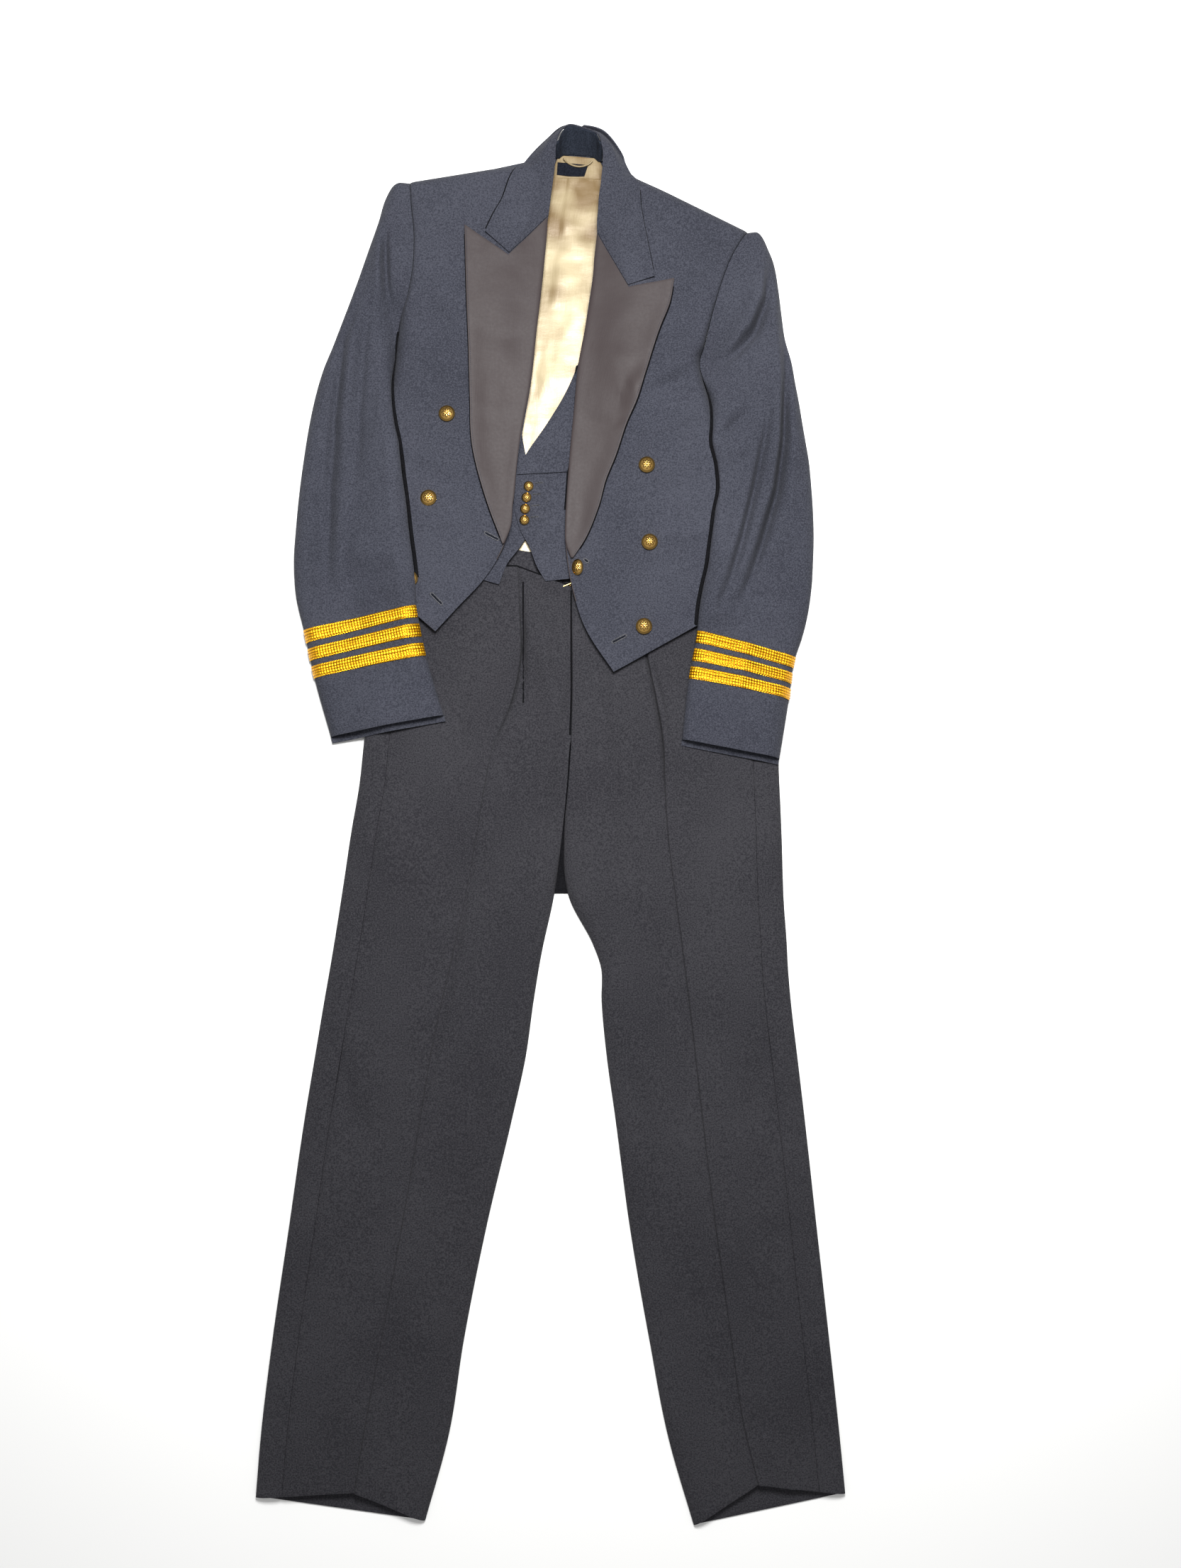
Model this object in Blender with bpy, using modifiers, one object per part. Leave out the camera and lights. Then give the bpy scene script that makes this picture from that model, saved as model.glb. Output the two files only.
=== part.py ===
# A mess dress suit laid flat on its back: short jacket, waistcoat and trousers.
# The plan is seen from above with the collar toward +Y; left and right are the viewer's.
# Tables and sizes are in millimetres, and one factor turns them into metres.

import math

import bpy
import numpy as np
from mathutils import Vector
from mathutils.bvhtree import BVHTree

MM = 0.001

# Middle of the plan, which is moved to the origin
MIDDLE = (0.5, 2.9)

# Cloth and gaps
SEAM = 0.3
JACKET_WOOL = 2.0
TROUSER_WOOL = 1.6
SLEEVE_WOOL = 1.8
WAISTCOAT_WOOL = 1.8
FACING = 1.6
SATIN = 1.0
LACE_THICK = 1.0

# Heights of the stack, from the surface that the suit lies on
BACK_TOP = JACKET_WOOL
LINING_TOP = BACK_TOP + SEAM + SATIN
SATIN_TOP = LINING_TOP + SEAM + SATIN
FOLD_BASE = BACK_TOP + SEAM

# Soft rounding of folded edges, across the edge
SIDE_ROLL = 30.0
SHOULDER_ROLL = 18.0
SEAM_ROLL = 7.0
LEG_ROLL = 20.0
LEG_UNDER_ROLL = 7.0
SLEEVE_ROLL = 17.0
WAISTCOAT_ROLL = 14.0
# Share of a roll's width that stands upright at its very edge
UPRIGHT = 0.004

# Clearances: pieces laid on others, sleeves on the body, sleeve head and armhole
LAID_GAP = 0.5
REST_GAP = 0.9
BODY_GAP = 1.15
INSET = 2.5               # how far in from a sleeve's edge its rim is kept clear
UNDER_SLOPE_ROOM = 0.25
SETTLE = 0.35             # share of a sleeve's height lost where it lies on the body
CAP_REACH = 45.0          # length over which the sleeve head meets the armhole's height

# Buttons: diameters, and shares of the diameter or radius
JACKET_BUTTON = 19.0
WAISTCOAT_BUTTON = 13.0
BUTTON_DOME = 0.3
BUTTON_RIM = 1.2          # millimetres
BUTTON_FOOT = 0.85
BUTTON_STEPS = 12

# Jacket fronts: one row from the armhole or side to the front edge, shoulder to point.
# crown is the height in the middle, side_z and edge_z the heights at the two ends.
FRONT_COLUMNS = ("side_x", "side_y", "edge_x", "edge_y", "crown", "side_z", "edge_z")
FRONT_LEFT = (
    (-168, 741, -3, 769, 31, 27, 22),
    (-165, 704, -1, 727, 31, 27, 21),
    (-162, 670, -6, 684, 29, 25, 20),
    (-164, 631, -9, 642, 27, 22, 19),
    (-170, 601, -13, 603, 26, 17, 18),
    (-179, 576, -18, 560, 25, 6, 17),
    (-186, 516, -24, 501, 24, 2.3, 17),
    (-194, 464, -32, 452, 23, 2.3, 17),
    (-204, 414, -40, 403, 22, 2.3, 17),
    (-214, 367, -45, 352, 21, 2.3, 18),
    (-224, 334, -56, 301, 20, 2.3, 18),
    (-228, 308, -81, 260, 20, 2.3, 18),
    (-230, 296, -109, 230, 19, 2.3, 18),
    (-231, 287, -134, 202, 18, 2.3, 18),
)
FRONT_RIGHT = (
    (232, 680, 66, 765, 31, 27, 22),
    (215, 653, 56, 727, 31, 27, 21),
    (204, 629, 53, 676, 29, 25, 20),
    (195, 602, 48, 624, 28, 23, 19),
    (187, 574, 43, 590, 27, 19, 18),
    (180, 545, 39, 563, 26, 13, 18),
    (174, 521, 31, 520, 25, 6, 17),
    (187, 473, 28, 489, 24, 2.3, 17),
    (196, 431, 23, 429, 23, 2.3, 17),
    (207, 380, 19, 370, 22, 2.3, 17),
    (217, 329, 16, 311, 21, 2.3, 18),
    (222, 288, 24, 253, 20, 2.3, 18),
    (224, 254, 43, 199, 20, 2.3, 18),
    (226, 241, 72, 155, 19, 2.3, 18),
)
ARMPIT_ROW = {"left": 5, "right": 6}

# Neck seam of the back from the left neck point to the right, and the back hem
NECK_SEAM = ((4, 779), (21, 780), (35, 779), (48, 777), (59, 773))
BACK_HEM = ((226, 241), (120, 226), (0, 222), (-120, 240), (-231, 287))

# Lapels: one row from the roll line to the outer edge, gorge to break.
# The first row bends at the notch.
LAPEL_COLUMNS = ("roll_x", "roll_y", "mid_x", "mid_y", "edge_x", "edge_y", "lift")
LAPEL_LEFT = (
    (-5, 695, -51, 647, -102, 680, 1.2),
    (-6, 674, -53, 634, -101, 648, 1.6),
    (-9, 641, -54, 615, -100, 611, 1.8),
    (-18, 559, -58, 547, -97, 539, 2.0),
    (-25, 496, -60, 485, -95, 475, 2.0),
    (-37, 428, -64, 422, -92, 418, 1.8),
    (-42, 384, -62, 380, -82, 376, 1.5),
    (-45, 352, -58, 347, -71, 342, 1.2),
    (-48, 322, -54, 318, -61, 316, 0.8),
)
LAPEL_RIGHT = (
    (53, 675, 90, 608, 143, 616, 1.2),
    (50, 649, 90, 592, 138, 588, 1.6),
    (48, 623, 87, 584, 127, 560, 1.8),
    (39, 562, 74, 531, 109, 504, 2.0),
    (31, 519, 65, 495, 100, 475, 2.0),
    (26, 466, 57, 455, 87, 445, 1.9),
    (21, 411, 48, 408, 74, 406, 1.8),
    (18, 369, 40, 373, 63, 379, 1.6),
    (16, 332, 34, 338, 54, 346, 1.2),
    (17, 303, 27, 304, 38, 308, 0.8),
)

# Collar fall: one row from the fold to the outer edge, left leaf to right leaf round the neck.
COLLAR_COLUMNS = (
    "fold_x", "fold_y", "fold_z", "mid_x", "mid_y", "mid_z", "edge_x", "edge_y", "edge_z"
)
COLLAR = (
    (-4, 697, 12, -50, 650, 12, -78, 673, 12),
    (-2, 714, 14, -31, 683, 12, -68, 694, 12),
    (1, 737, 19, -22, 718, 12, -58, 712, 12),
    (4, 762, 26, -14, 746, 24, -46, 745, 12),
    (5, 781, 28, -10, 776, 26, -24, 777, 10),
    (9, 795, 29, 1, 795, 21, -7, 796, 6),
    (19, 804, 29, 15, 808, 18, 11, 811, 1),
    (36, 801, 29, 37, 806, 17, 38, 810, 1),
    (53, 794, 29, 58, 798, 18, 61, 803, 1),
    (58, 783, 28, 70, 781, 23, 80, 779, 6),
    (60, 767, 26, 76, 762, 26, 90, 757, 12),
    (58, 742, 20, 78, 738, 20, 101, 733, 12),
    (55, 708, 14, 79, 700, 12, 105, 698, 12),
    (53, 692, 12, 83, 662, 12, 113, 656, 12),
    (53, 677, 12, 89, 611, 12, 120, 619, 12),
)
STAND_COLUMNS = ("fold_x", "fold_y", "fold_z", "seam_x", "seam_y", "seam_z")
STAND = (
    (7.5, 781, 27.5, 8, 774, 4.5),
    (12, 792.3, 28, 13, 778, 4.0),
    (20, 800.6, 28.2, 21, 779, 3.7),
    (35.5, 797.8, 28.2, 35, 778, 3.7),
    (50.6, 791.8, 28, 48, 776, 4.0),
    (56, 781, 27.5, 55, 770, 4.5),
)

# Sleeves: one row from the outer fold to the inner edge, armhole to cuff.
# crown is the air and cloth above the under panel, lift how far the row lies on what is under it.
SLEEVE_COLUMNS = ("outer_x", "outer_y", "inner_x", "inner_y", "crown", "lift")
SLEEVE_LEFT = (
    (-180, 739.5, -168, 741, 27, 0),
    (-190, 735, -167, 725, 27, 0),
    (-198, 723, -165, 704, 27, 0),
    (-207, 693, -162, 670, 26, 0),
    (-219, 657, -164, 631, 26, 0),
    (-230, 624, -170, 601, 26, 0),
    (-239, 598, -179, 576, 25, 0),
    (-248, 573, -183, 554, 25, 0),
    (-259, 543, -186.5, 526, 24, 0.2),
    (-270, 515, -188, 494, 23, 1),
    (-281, 475, -184, 452, 21, 1),
    (-287, 443, -178, 422, 20, 1),
    (-292, 408, -174, 389, 19, 1),
    (-296.5, 370, -169, 356, 18, 1),
    (-300, 328, -165, 320, 17, 1),
    (-302, 287, -160.5, 287, 16, 1),
    (-299, 246, -157, 258, 16, 1),
    (-289, 205, -155.8, 231.6, 16.5, 1),
    (-276, 149, -144.7, 174.2, 16.5, 1),
    (-256, 80.5, -124, 104.8, 16, 1),
)
SLEEVE_RIGHT = (
    (243, 681, 232, 680, 27, 0),
    (250, 673, 227, 668, 27, 0),
    (257, 659, 215, 653, 27, 0),
    (263.5, 641, 204, 629, 27, 0),
    (268, 613, 195, 602, 26, 0),
    (271.5, 583, 187, 574, 26, 0),
    (275.5, 553, 180, 545, 25, 0),
    (283, 524, 174, 521, 25, 0),
    (287, 500, 182, 503, 24, 0),
    (291, 478, 185, 486, 24, 0.3),
    (295, 452, 188, 464, 23, 1),
    (298.5, 430, 188, 444, 22, 1),
    (302, 408, 187, 425, 21, 1),
    (304.5, 380, 193, 398, 20, 1),
    (306.3, 350, 195, 368, 19, 1),
    (307, 322, 190, 342, 19, 1),
    (306, 288, 185, 306, 18, 1),
    (304, 257, 181, 277, 17, 1),
    (300, 229, 176, 256, 16, 1),
    (293, 200, 171, 229, 16, 1),
    (284, 173.4, 168.5, 202.5, 16.5, 1),
    (276, 124, 158.7, 147.7, 16.5, 1),
    (263.5, 55, 150.5, 76.8, 16, 1),
)
# The sleeve's row at the armpit, and its rows at the upper and lower ends of the lace
SLEEVE_ARMPIT_ROW = {"left": 6, "right": 7}
LACE_TOP_ROW = -3
LACE_LOW_ROW = -2
LACE_SHARES = (0.0, 0.2456, 0.377, 0.623, 0.754, 1.0)
# How far the under panel passes the top panel at the cuff, and which of its columns it shares
CUFF_STEP = 7.0
UNDER_COLUMNS = [0, 3, 5, 7, 10]

# Largest folds: points along the crest, height, and the widths before and past it
FOLDS_RIGHT_SLEEVE = (
    (((182, 520), (206, 535), (232, 553), (252, 588), (257, 640)), 7.0, 24, 8),
    (((272, 590), (276, 540), (275, 480), (268, 420), (250, 360), (226, 300)), 8.0, 22, 9),
    (((262, 520), (250, 470), (238, 410), (214, 340), (196, 290)), 4.5, 14, 10),
)
FOLDS_LEFT_SLEEVE = (
    (((-196, 700), (-204, 640), (-198, 590), (-190, 560)), 4.0, 14, 9),
    (((-226, 600), (-244, 560), (-268, 480), (-280, 420)), 5.0, 9, 26),
    (((-215, 560), (-240, 440), (-250, 330), (-252, 240)), 3.0, 18, 14),
)

# Trouser legs: one row from the outer fold over the pleat or crease to the inner edge.
LEG_COLUMNS = ("outer_x", "outer_y", "crease_x", "crease_y", "inner_x", "inner_y",
               "back_reach", "crown", "inner_z", "pleat")
LEG_LEFT = (
    (-173, 281, -40, 279, 35, 251, 25, 12.6, 10.2, 1.0),
    (-187, 239, -38, 233, 35, 230, 25, 12.6, 10.2, 1.5),
    (-201, 193, -36, 183, 35, 184, 25, 13.0, 10.2, 2.5),
    (-212, 126, -46, 125, 34, 126, 25, 13.5, 10.2, 3.0),
    (-218, 71, -67, 70, 21.5, 71, 21.5, 14.0, 10.6, 0.6),
    (-222, 29, -76, 28, 18.5, 29, 18.5, 14.0, 10.0, 0),
    (-231, -28, -85, -28, 13, -28, 13, 14.0, 7.0, 0),
    (-240, -93, -96, -93, 4, -98, 4, 14.0, 2.0, 0),
    (-252, -174, -113, -174, -12, -174, -12, 13.5, 2.0, 0),
    (-260, -223, -124, -222, -20, -223, -20, 13.5, 2.0, 0),
    (-270, -287, -137, -286, -29, -287, -29, 13.0, 2.0, 0),
    (-280, -351, -147, -350, -43, -351, -43, 13.0, 2.0, 0),
    (-297, -478, -168, -476, -73, -478, -73, 12.5, 2.0, 0),
    (-314, -604, -190, -601, -98, -604, -98, 12.0, 2.0, 0),
    (-325, -704, -208, -701, -115, -711, -115, 12.0, 2.0, 0),
    (-330, -775, -218, -768, -140, -801, -140, 12.5, 2.0, 0),
)
LEG_RIGHT = (
    (202, 268, 105, 258, 25, 256, 25.6, 13.6, 13.6, 0.5),
    (221, 222, 108, 208, 25, 222, 25.6, 13.6, 13.6, 1.0),
    (234, 176, 112, 175, 25, 176, 25.6, 14.0, 13.6, 2.0),
    (251, 126, 122, 125, 25, 126, 25.6, 14.0, 13.6, 3.0),
    (262, 71, 130, 70, 23, 71, 23.6, 14.0, 13.2, 2.0),
    (264, 29, 131, 28, 20, 29, 20.6, 14.0, 12.0, 0.6),
    (266, -28, 134, -28, 15, -28, 15.6, 14.0, 7.0, 0),
    (268, -110, 143, -104, 21, -106, 21.3, 14.0, 2.0, 0),
    (271, -158, 150, -158, 48, -158, 48, 13.5, 2.0, 0),
    (272, -183, 153, -182, 57, -183, 57, 13.5, 2.0, 0),
    (275, -223, 158, -222, 58, -223, 58, 13.5, 2.0, 0),
    (282, -287, 165, -286, 64, -287, 64, 13.0, 2.0, 0),
    (289, -351, 172, -350, 73, -351, 73, 13.0, 2.0, 0),
    (302, -478, 187, -476, 90, -478, 90, 12.5, 2.0, 0),
    (315, -604, 204, -601, 112, -604, 112, 12.0, 2.0, 0),
    (325, -704, 217, -693, 134, -715, 134, 12.0, 2.0, 0),
    (331, -771, 233, -759, 161, -806, 161, 12.5, 2.0, 0),
)
SIDE_SEAM_IN = 30.0       # side seam, in from the outer fold
CREASE_RIDGE = 2.2        # how far the pressed crease stands over the leg
PLEAT_REACH = 14.0        # how far a pleat's hollow reaches beside it
FLY_TUCK = 24.0           # how far the left front dips under the right one at the fly
WAIST_RISE = 33.0         # the back waist stands above the front one
WAIST_REACH = 90.0        # it gains that height over this width from the outer fold
BASE_HIGH = 4.2           # height of the legs' underside where they lie on the waistcoat back
BASE_HIGH_Y = 225.0       # above this they lie on it
BASE_LOW_Y = 180.0        # below this they lie on the ground
UNDER_SHARE = 0.6         # share of the under roll that the fold's outermost line stands at

# Waistcoat: one row from the side to the front edge, shoulder to point.
WAISTCOAT_COLUMNS = ("side_x", "side_y", "edge_x", "edge_y", "height", "edge_z")
WAISTCOAT_RIGHT = (
    (150, 690, 61, 745, 11.5, 9.0),
    (135, 640, 56, 675, 11.5, 8.5),
    (150, 590, 50, 620, 12.0, 8.5),
    (160, 550, 42, 562, 12.0, 8.5),
    (170, 505, 27, 513, 12.2, 8.5),
    (178, 470, 13, 482, 12.3, 9.0),
    (184, 435, -6, 450, 12.3, 10.0),
    (188, 405, -34, 407, 12.3, 11.0),
    (190, 380, -43, 385, 12.3, 11.8),
    (191, 345, -43.5, 350, 12.3, 11.8),
    (191, 320, -36, 322, 12.6, 12.0),
    (190, 300, -25, 301, 13.4, 13.2),
    (189, 290, -17, 279, 15.2, 15.2),
    (187, 282, -7, 262, 15.6, 15.6),
)
WAISTCOAT_LEFT = (
    (-125, 700, -2, 742, 10.0, 9.0),
    (-120, 650, -9, 690, 10.0, 9.0),
    (-135, 600, -14, 641, 10.0, 9.0),
    (-145, 560, -22, 559, 10.0, 9.0),
    (-152, 500, -29, 496, 9.8, 8.5),
    (-160, 455, -36, 452, 9.8, 8.5),
    (-166, 420, -30, 410, 9.8, 9.0),
    (-170, 385, -21, 380, 9.8, 9.0),
    (-173, 350, -21, 345, 9.8, 9.2),
    (-175, 325, -31, 313, 10.2, 9.8),
    (-176, 310, -39, 300, 12.6, 12.2),
    (-177, 300, -52, 282, 15.0, 15.0),
    (-177, 292, -61, 258, 15.4, 15.4),
)
WAISTCOAT_COLLAR_COLUMNS = ("roll_x", "roll_y", "edge_x", "edge_y")
WAISTCOAT_COLLAR = (
    (40, 548, 52, 540),
    (28.5, 512, 44, 500),
    (14.5, 481, 38, 470),
    (-4.5, 448, 30, 440),
    (-23, 419, 24, 415),
    (-32.5, 404, 20, 400),
    (-40.5, 388.5, 18, 391.5),
)
WAISTCOAT_BACK_COLUMNS = ("left_x", "left_y", "right_x", "right_y")
WAISTCOAT_BACK = (
    (-8, 751, 66, 749),
    (-50, 738, 104, 728),
    (-95, 700, 132, 690),
    (-125, 600, 150, 600),
    (-150, 480, 170, 480),
    (-165, 380, 185, 380),
    (-170, 300, 185, 280),
    (-170, 272, 185, 252),
)
PLEAT_TOP_X = 18.0        # centre pleat of the satin back at its top
PLEAT_SLOPE = 0.134       # how far it leans for each millimetre down
PLEAT_RIDGE = 0.5         # it stands this far over the satin back

# Lining of the back, where it shows at the neck
LINING_COLUMNS = ("left_x", "left_y", "right_x", "right_y")
LINING = ((8, 772, 54, 768), (2, 762, 62, 757), (-10, 740, 75, 737), (-30, 706, 90, 703))
# Neck label and hanger loop
LABEL = ((6, 770), (5, 754.5), (20, 752.5), (38, 752.5), (42.5, 766.5))
LABEL_THICK = 0.6
LOOP_ENDS = ((13.5, 774.5), (47, 771.5))
LOOP_SAG = 9.0
LOOP_ROUND = 1.2
# Hook at the top of the fly: width, depth and thickness, and the middle of it
HOOK_SIZE = (9.0, 8.0, 1.0)
HOOK_AT = (18.2, 258.0)

# Buttons: centre, and the piece that carries each
JACKET_BUTTONS = (
    ("button_left_top", -121.6, 460.6, "jacket_front_left"),
    ("button_left_middle", -142.5, 361.3, "jacket_front_left"),
    ("button_left_bottom", -163.6, 266.5, "jacket_front_left"),
    ("button_right_top", 111.2, 400.1, "jacket_front_right"),
    ("button_right_middle", 114.3, 309.5, "jacket_front_right"),
    ("button_right_bottom", 107.6, 211.0, "jacket_front_right"),
    ("button_link", 30.5, 280.3, "jacket_front_right"),
)
WAISTCOAT_BUTTONS = ((-26.5, 377.7), (-28.9, 364.3), (-30.6, 350.9), (-31.3, 337.5))

# Colours: red, green, blue, roughness, metallic
COLOURS = {
    "navy_barathea": (0.085, 0.09, 0.115, 0.85, 0.0),
    "navy_dark": (0.028, 0.032, 0.042, 0.85, 0.0),
    "trouser_wool": (0.05, 0.05, 0.06, 0.85, 0.0),
    "lapel_satin": (0.13, 0.105, 0.105, 0.5, 0.0),
    "gold_satin": (0.75, 0.55, 0.3, 0.3, 0.0),
    "gold_lace": (0.8, 0.5, 0.08, 0.35, 0.7),
    "brass": (0.8, 0.55, 0.2, 0.25, 1.0),
    "label_navy": (0.01, 0.012, 0.02, 0.6, 0.0),
}


def material(name):
    found = bpy.data.materials.get(name)
    if found:
        return found
    red, green, blue, rough, metal = COLOURS[name]
    made = bpy.data.materials.new(name)
    made.use_nodes = True
    shader = made.node_tree.nodes["Principled BSDF"]
    shader.inputs["Base Color"].default_value = (red, green, blue, 1)
    shader.inputs["Roughness"].default_value = rough
    shader.inputs["Metallic"].default_value = metal
    return made


def smooth(at_rows, values, at):
    """A smooth curve through values, which stand at at_rows, read at each of at."""
    slopes = np.gradient(values, at_rows)
    i = np.clip(np.searchsorted(at_rows, at, side="right") - 1, 0, len(at_rows) - 2)
    span = at_rows[i + 1] - at_rows[i]
    s = (at - at_rows[i]) / span
    return (
        values[i] * (2 * s**3 - 3 * s**2 + 1)
        + slopes[i] * span * (s**3 - 2 * s**2 + s)
        + values[i + 1] * (3 * s**2 - 2 * s**3)
        + slopes[i + 1] * span * (s**3 - s**2)
    )


def step(low, high, x):
    s = np.clip((x - low) / (high - low), 0, 1)
    return s * s * (3 - 2 * s)


def roll(distance, width):
    """A quarter round: 0 at the edge and 1 from width on."""
    s = np.clip(distance / width, 0, 1)
    return np.sqrt(np.clip(1 - (1 - s) ** 2, 0, 1))


def spread(length, start, end, count, turns=2, lips=(False, False)):
    """Distances from 0 to each length, close together on the rolls at both ends."""
    length = np.atleast_1d(np.asarray(length, float))[:, None]
    shrink = np.minimum(1, 0.8 * length / max(start + end, 1e-6))

    def turn(width, lip):
        if not width:
            return 0 * shrink
        shares = 1 - np.cos(np.linspace(0, math.pi / 2, turns + 1))
        if lip:
            shares = np.insert(shares, 1, UPRIGHT)
        return width * shrink * shares

    first = turn(start, lips[0])
    last = length - turn(end, lips[1])[:, ::-1]
    inner_shares = np.linspace(0, 1, count + 1)[1:-1]
    middle = first[:, -1:] + (last[:, :1] - first[:, -1:]) * inner_shares
    return np.concatenate([first, middle, last], axis=1)


class Rows:
    """A table of rows down a panel, read smoothly at any share v of the way down it."""

    def __init__(self, columns, rows):
        self.columns = columns
        self.values = np.array(rows, float)
        points = self.values[:, :2]
        ends = self.values[:, [columns.index(n) for n in self.last_pair()]]
        length = (
            np.linalg.norm(np.diff(points, axis=0), axis=1)
            + np.linalg.norm(np.diff(ends, axis=0), axis=1)
        ) / 2
        self.length = length.sum()
        self.at = np.concatenate([[0], np.cumsum(length)]) / self.length

    def last_pair(self):
        pairs = [n[:-2] for n in self.columns if n.endswith("_x")]
        return pairs[-1] + "_x", pairs[-1] + "_y"

    def read(self, name, v):
        return smooth(self.at, self.values[:, self.columns.index(name)], v)

    def point(self, name, v):
        return np.stack([self.read(name + "_x", v), self.read(name + "_y", v)], axis=-1)


def between(a, b, share):
    return a[:, None, :] + (b - a)[:, None, :] * share[..., None]


def even(a, b, count):
    """Rows of evenly spread points from each of a to each of b."""
    return between(a, b, np.tile(np.linspace(0, 1, count), (len(a), 1)))


def fold_height(x, y, folds):
    """The sum of soft folds: each rises along its points and dies away at both ends."""
    total = np.zeros_like(x)
    for points, height, before, past in folds:
        points = np.array(points, float)
        parts = np.diff(points, axis=0)
        lengths = np.linalg.norm(parts, axis=1)
        best = np.full(x.shape, 1e9)
        side = np.zeros_like(x)
        along = np.zeros_like(x)
        for k, (start, part, length) in enumerate(zip(points, parts, lengths)):
            t = ((x - start[0]) * part[0] + (y - start[1]) * part[1]) / length**2
            t = np.clip(t, 0, 1)
            dx = x - start[0] - t * part[0]
            dy = y - start[1] - t * part[1]
            near = np.hypot(dx, dy)
            closer = near < best
            best = np.where(closer, near, best)
            side = np.where(closer, part[0] * dy - part[1] * dx, side)
            along = np.where(closer, lengths[:k].sum() + t * length, along)
        share = along / lengths.sum()
        width = np.where(side > 0, before, past)
        total += height * np.exp(-((best / width) ** 2)) * np.sin(math.pi * share) ** 0.7
    return total


def smooth_shade(mesh, angle=50):
    mesh.shade_smooth()
    mesh.set_sharp_from_angle(angle=math.radians(angle))


def cloth(name, grid, wall, finish, upward=True, inward=True):
    """A wall of cloth on a grid of points in millimetres; inward grows it below the grid."""
    rows, columns, _ = grid.shape
    index = np.arange(rows * columns).reshape(rows, columns)
    faces = np.stack(
        [index[:-1, :-1], index[:-1, 1:], index[1:, 1:], index[1:, :-1]], axis=-1
    ).reshape(-1, 4)
    i, j = (rows - 1) // 2, (columns - 1) // 2
    turn = np.cross(grid[i, j + 1] - grid[i, j], grid[i + 1, j] - grid[i, j])
    if (turn[2] < 0) == upward:
        faces = faces[:, ::-1]
    mesh = bpy.data.meshes.new(name)
    mesh.from_pydata((grid.reshape(-1, 3) * MM).tolist(), [], faces.tolist())
    obj = bpy.data.objects.new(name, mesh)
    suit.objects.link(obj)
    solidify = obj.modifiers.new("wall", "SOLIDIFY")
    solidify.thickness = wall * MM
    solidify.offset = -1 if inward else 1
    mesh.materials.append(material(finish))
    smooth_shade(mesh)
    surfaces[name] = (grid, faces)
    return obj


def below(names):
    """The surfaces and studs that cloth laid later comes to rest on."""
    trees = []
    for name in names:
        grid, faces = surfaces[name]
        trees.append(BVHTree.FromPolygons(grid.reshape(-1, 3).tolist(), faces.tolist()))
    return trees


def height_on(trees, x, y):
    """The highest point under (x, y), or 0 on the ground."""
    high = 0.0
    for tree in trees:
        hit = tree.ray_cast(Vector((x, y, 200)), Vector((0, 0, -1)))[0]
        if hit is not None:
            high = max(high, hit.z)
    for stud_x, stud_y, radius, low, tall in studs:
        away = math.hypot(x - stud_x, y - stud_y) / (radius + 1)
        if away < 1:
            high = max(high, low + 1.5 + (tall - 1.5) * math.sqrt(1 - away**2))
    return high


def corner_weights(a, b):
    """Weights of a cell's four corners at (a, b), for each way to halve the cell."""
    if a > b:
        first = [1 - a, 0, a - b, b]
    else:
        first = [1 - b, b - a, 0, a]
    if a + b < 1:
        second = [1 - a - b, b, a, 0]
    else:
        second = [0, 1 - a, 1 - b, a + b - 1]
    return np.array(first), np.array(second)


def clear(plan, z, trees, gap, turns=16):
    """Raises a grid of heights until the cloth between its points clears what is below it."""
    marks = np.linspace(0, 1, 6)
    cells = []
    for i in range(plan.shape[0] - 1):
        for j in range(plan.shape[1] - 1):
            corner = plan[[i, i, i + 1, i + 1], [j, j + 1, j, j + 1]]
            for a in marks:
                for b in marks:
                    for weight in corner_weights(a, b):
                        high = height_on(trees, *(weight @ corner))
                        if high > 0:
                            cells.append((i, j, weight, high + gap))
    z = z.copy()
    for _ in range(turns):
        for i, j, weight, wanted in cells:
            spots = ([i, i, i + 1, i + 1], [j, j + 1, j, j + 1])
            short = wanted - weight @ z[spots]
            if short > 0:
                z[spots] += short * weight / (weight @ weight)
    return z


def falling(plan, trees, reach=36.0, slope=0.5):
    """Heights on what is below, and beside it a gentle slope down to the ground."""
    offsets = [(0.0, 0.0, 0.0)]
    for ring in (4.0, 9.0, 15.0, 22.0, 29.0, reach):
        for k in range(12):
            angle = 2 * math.pi * (k + 0.5) / 12
            offsets.append((ring * math.cos(angle), ring * math.sin(angle), ring))
    z = np.zeros(plan.shape[:2])
    for i in np.ndindex(z.shape):
        for dx, dy, distance in offsets:
            high = height_on(trees, plan[i][0] + dx, plan[i][1] + dy)
            z[i] = max(z[i], high - slope * distance)
    return z


def outline_slab(name, points, low, high, finish):
    """A flat piece of cloth: its outline filled, from low to high."""
    curve = bpy.data.curves.new(name, "CURVE")
    curve.dimensions = "2D"
    curve.fill_mode = "BOTH"
    curve.extrude = (high - low) / 2 * MM
    spline = curve.splines.new("POLY")
    spline.points.add(len(points) - 1)
    for spot, (x, y) in zip(spline.points, points):
        spot.co = (x * MM, y * MM, 0, 1)
    spline.use_cyclic_u = True
    obj = bpy.data.objects.new(name, curve)
    obj.location.z = (low + high) / 2 * MM
    curve.materials.append(material(finish))
    suit.objects.link(obj)
    return obj


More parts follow.
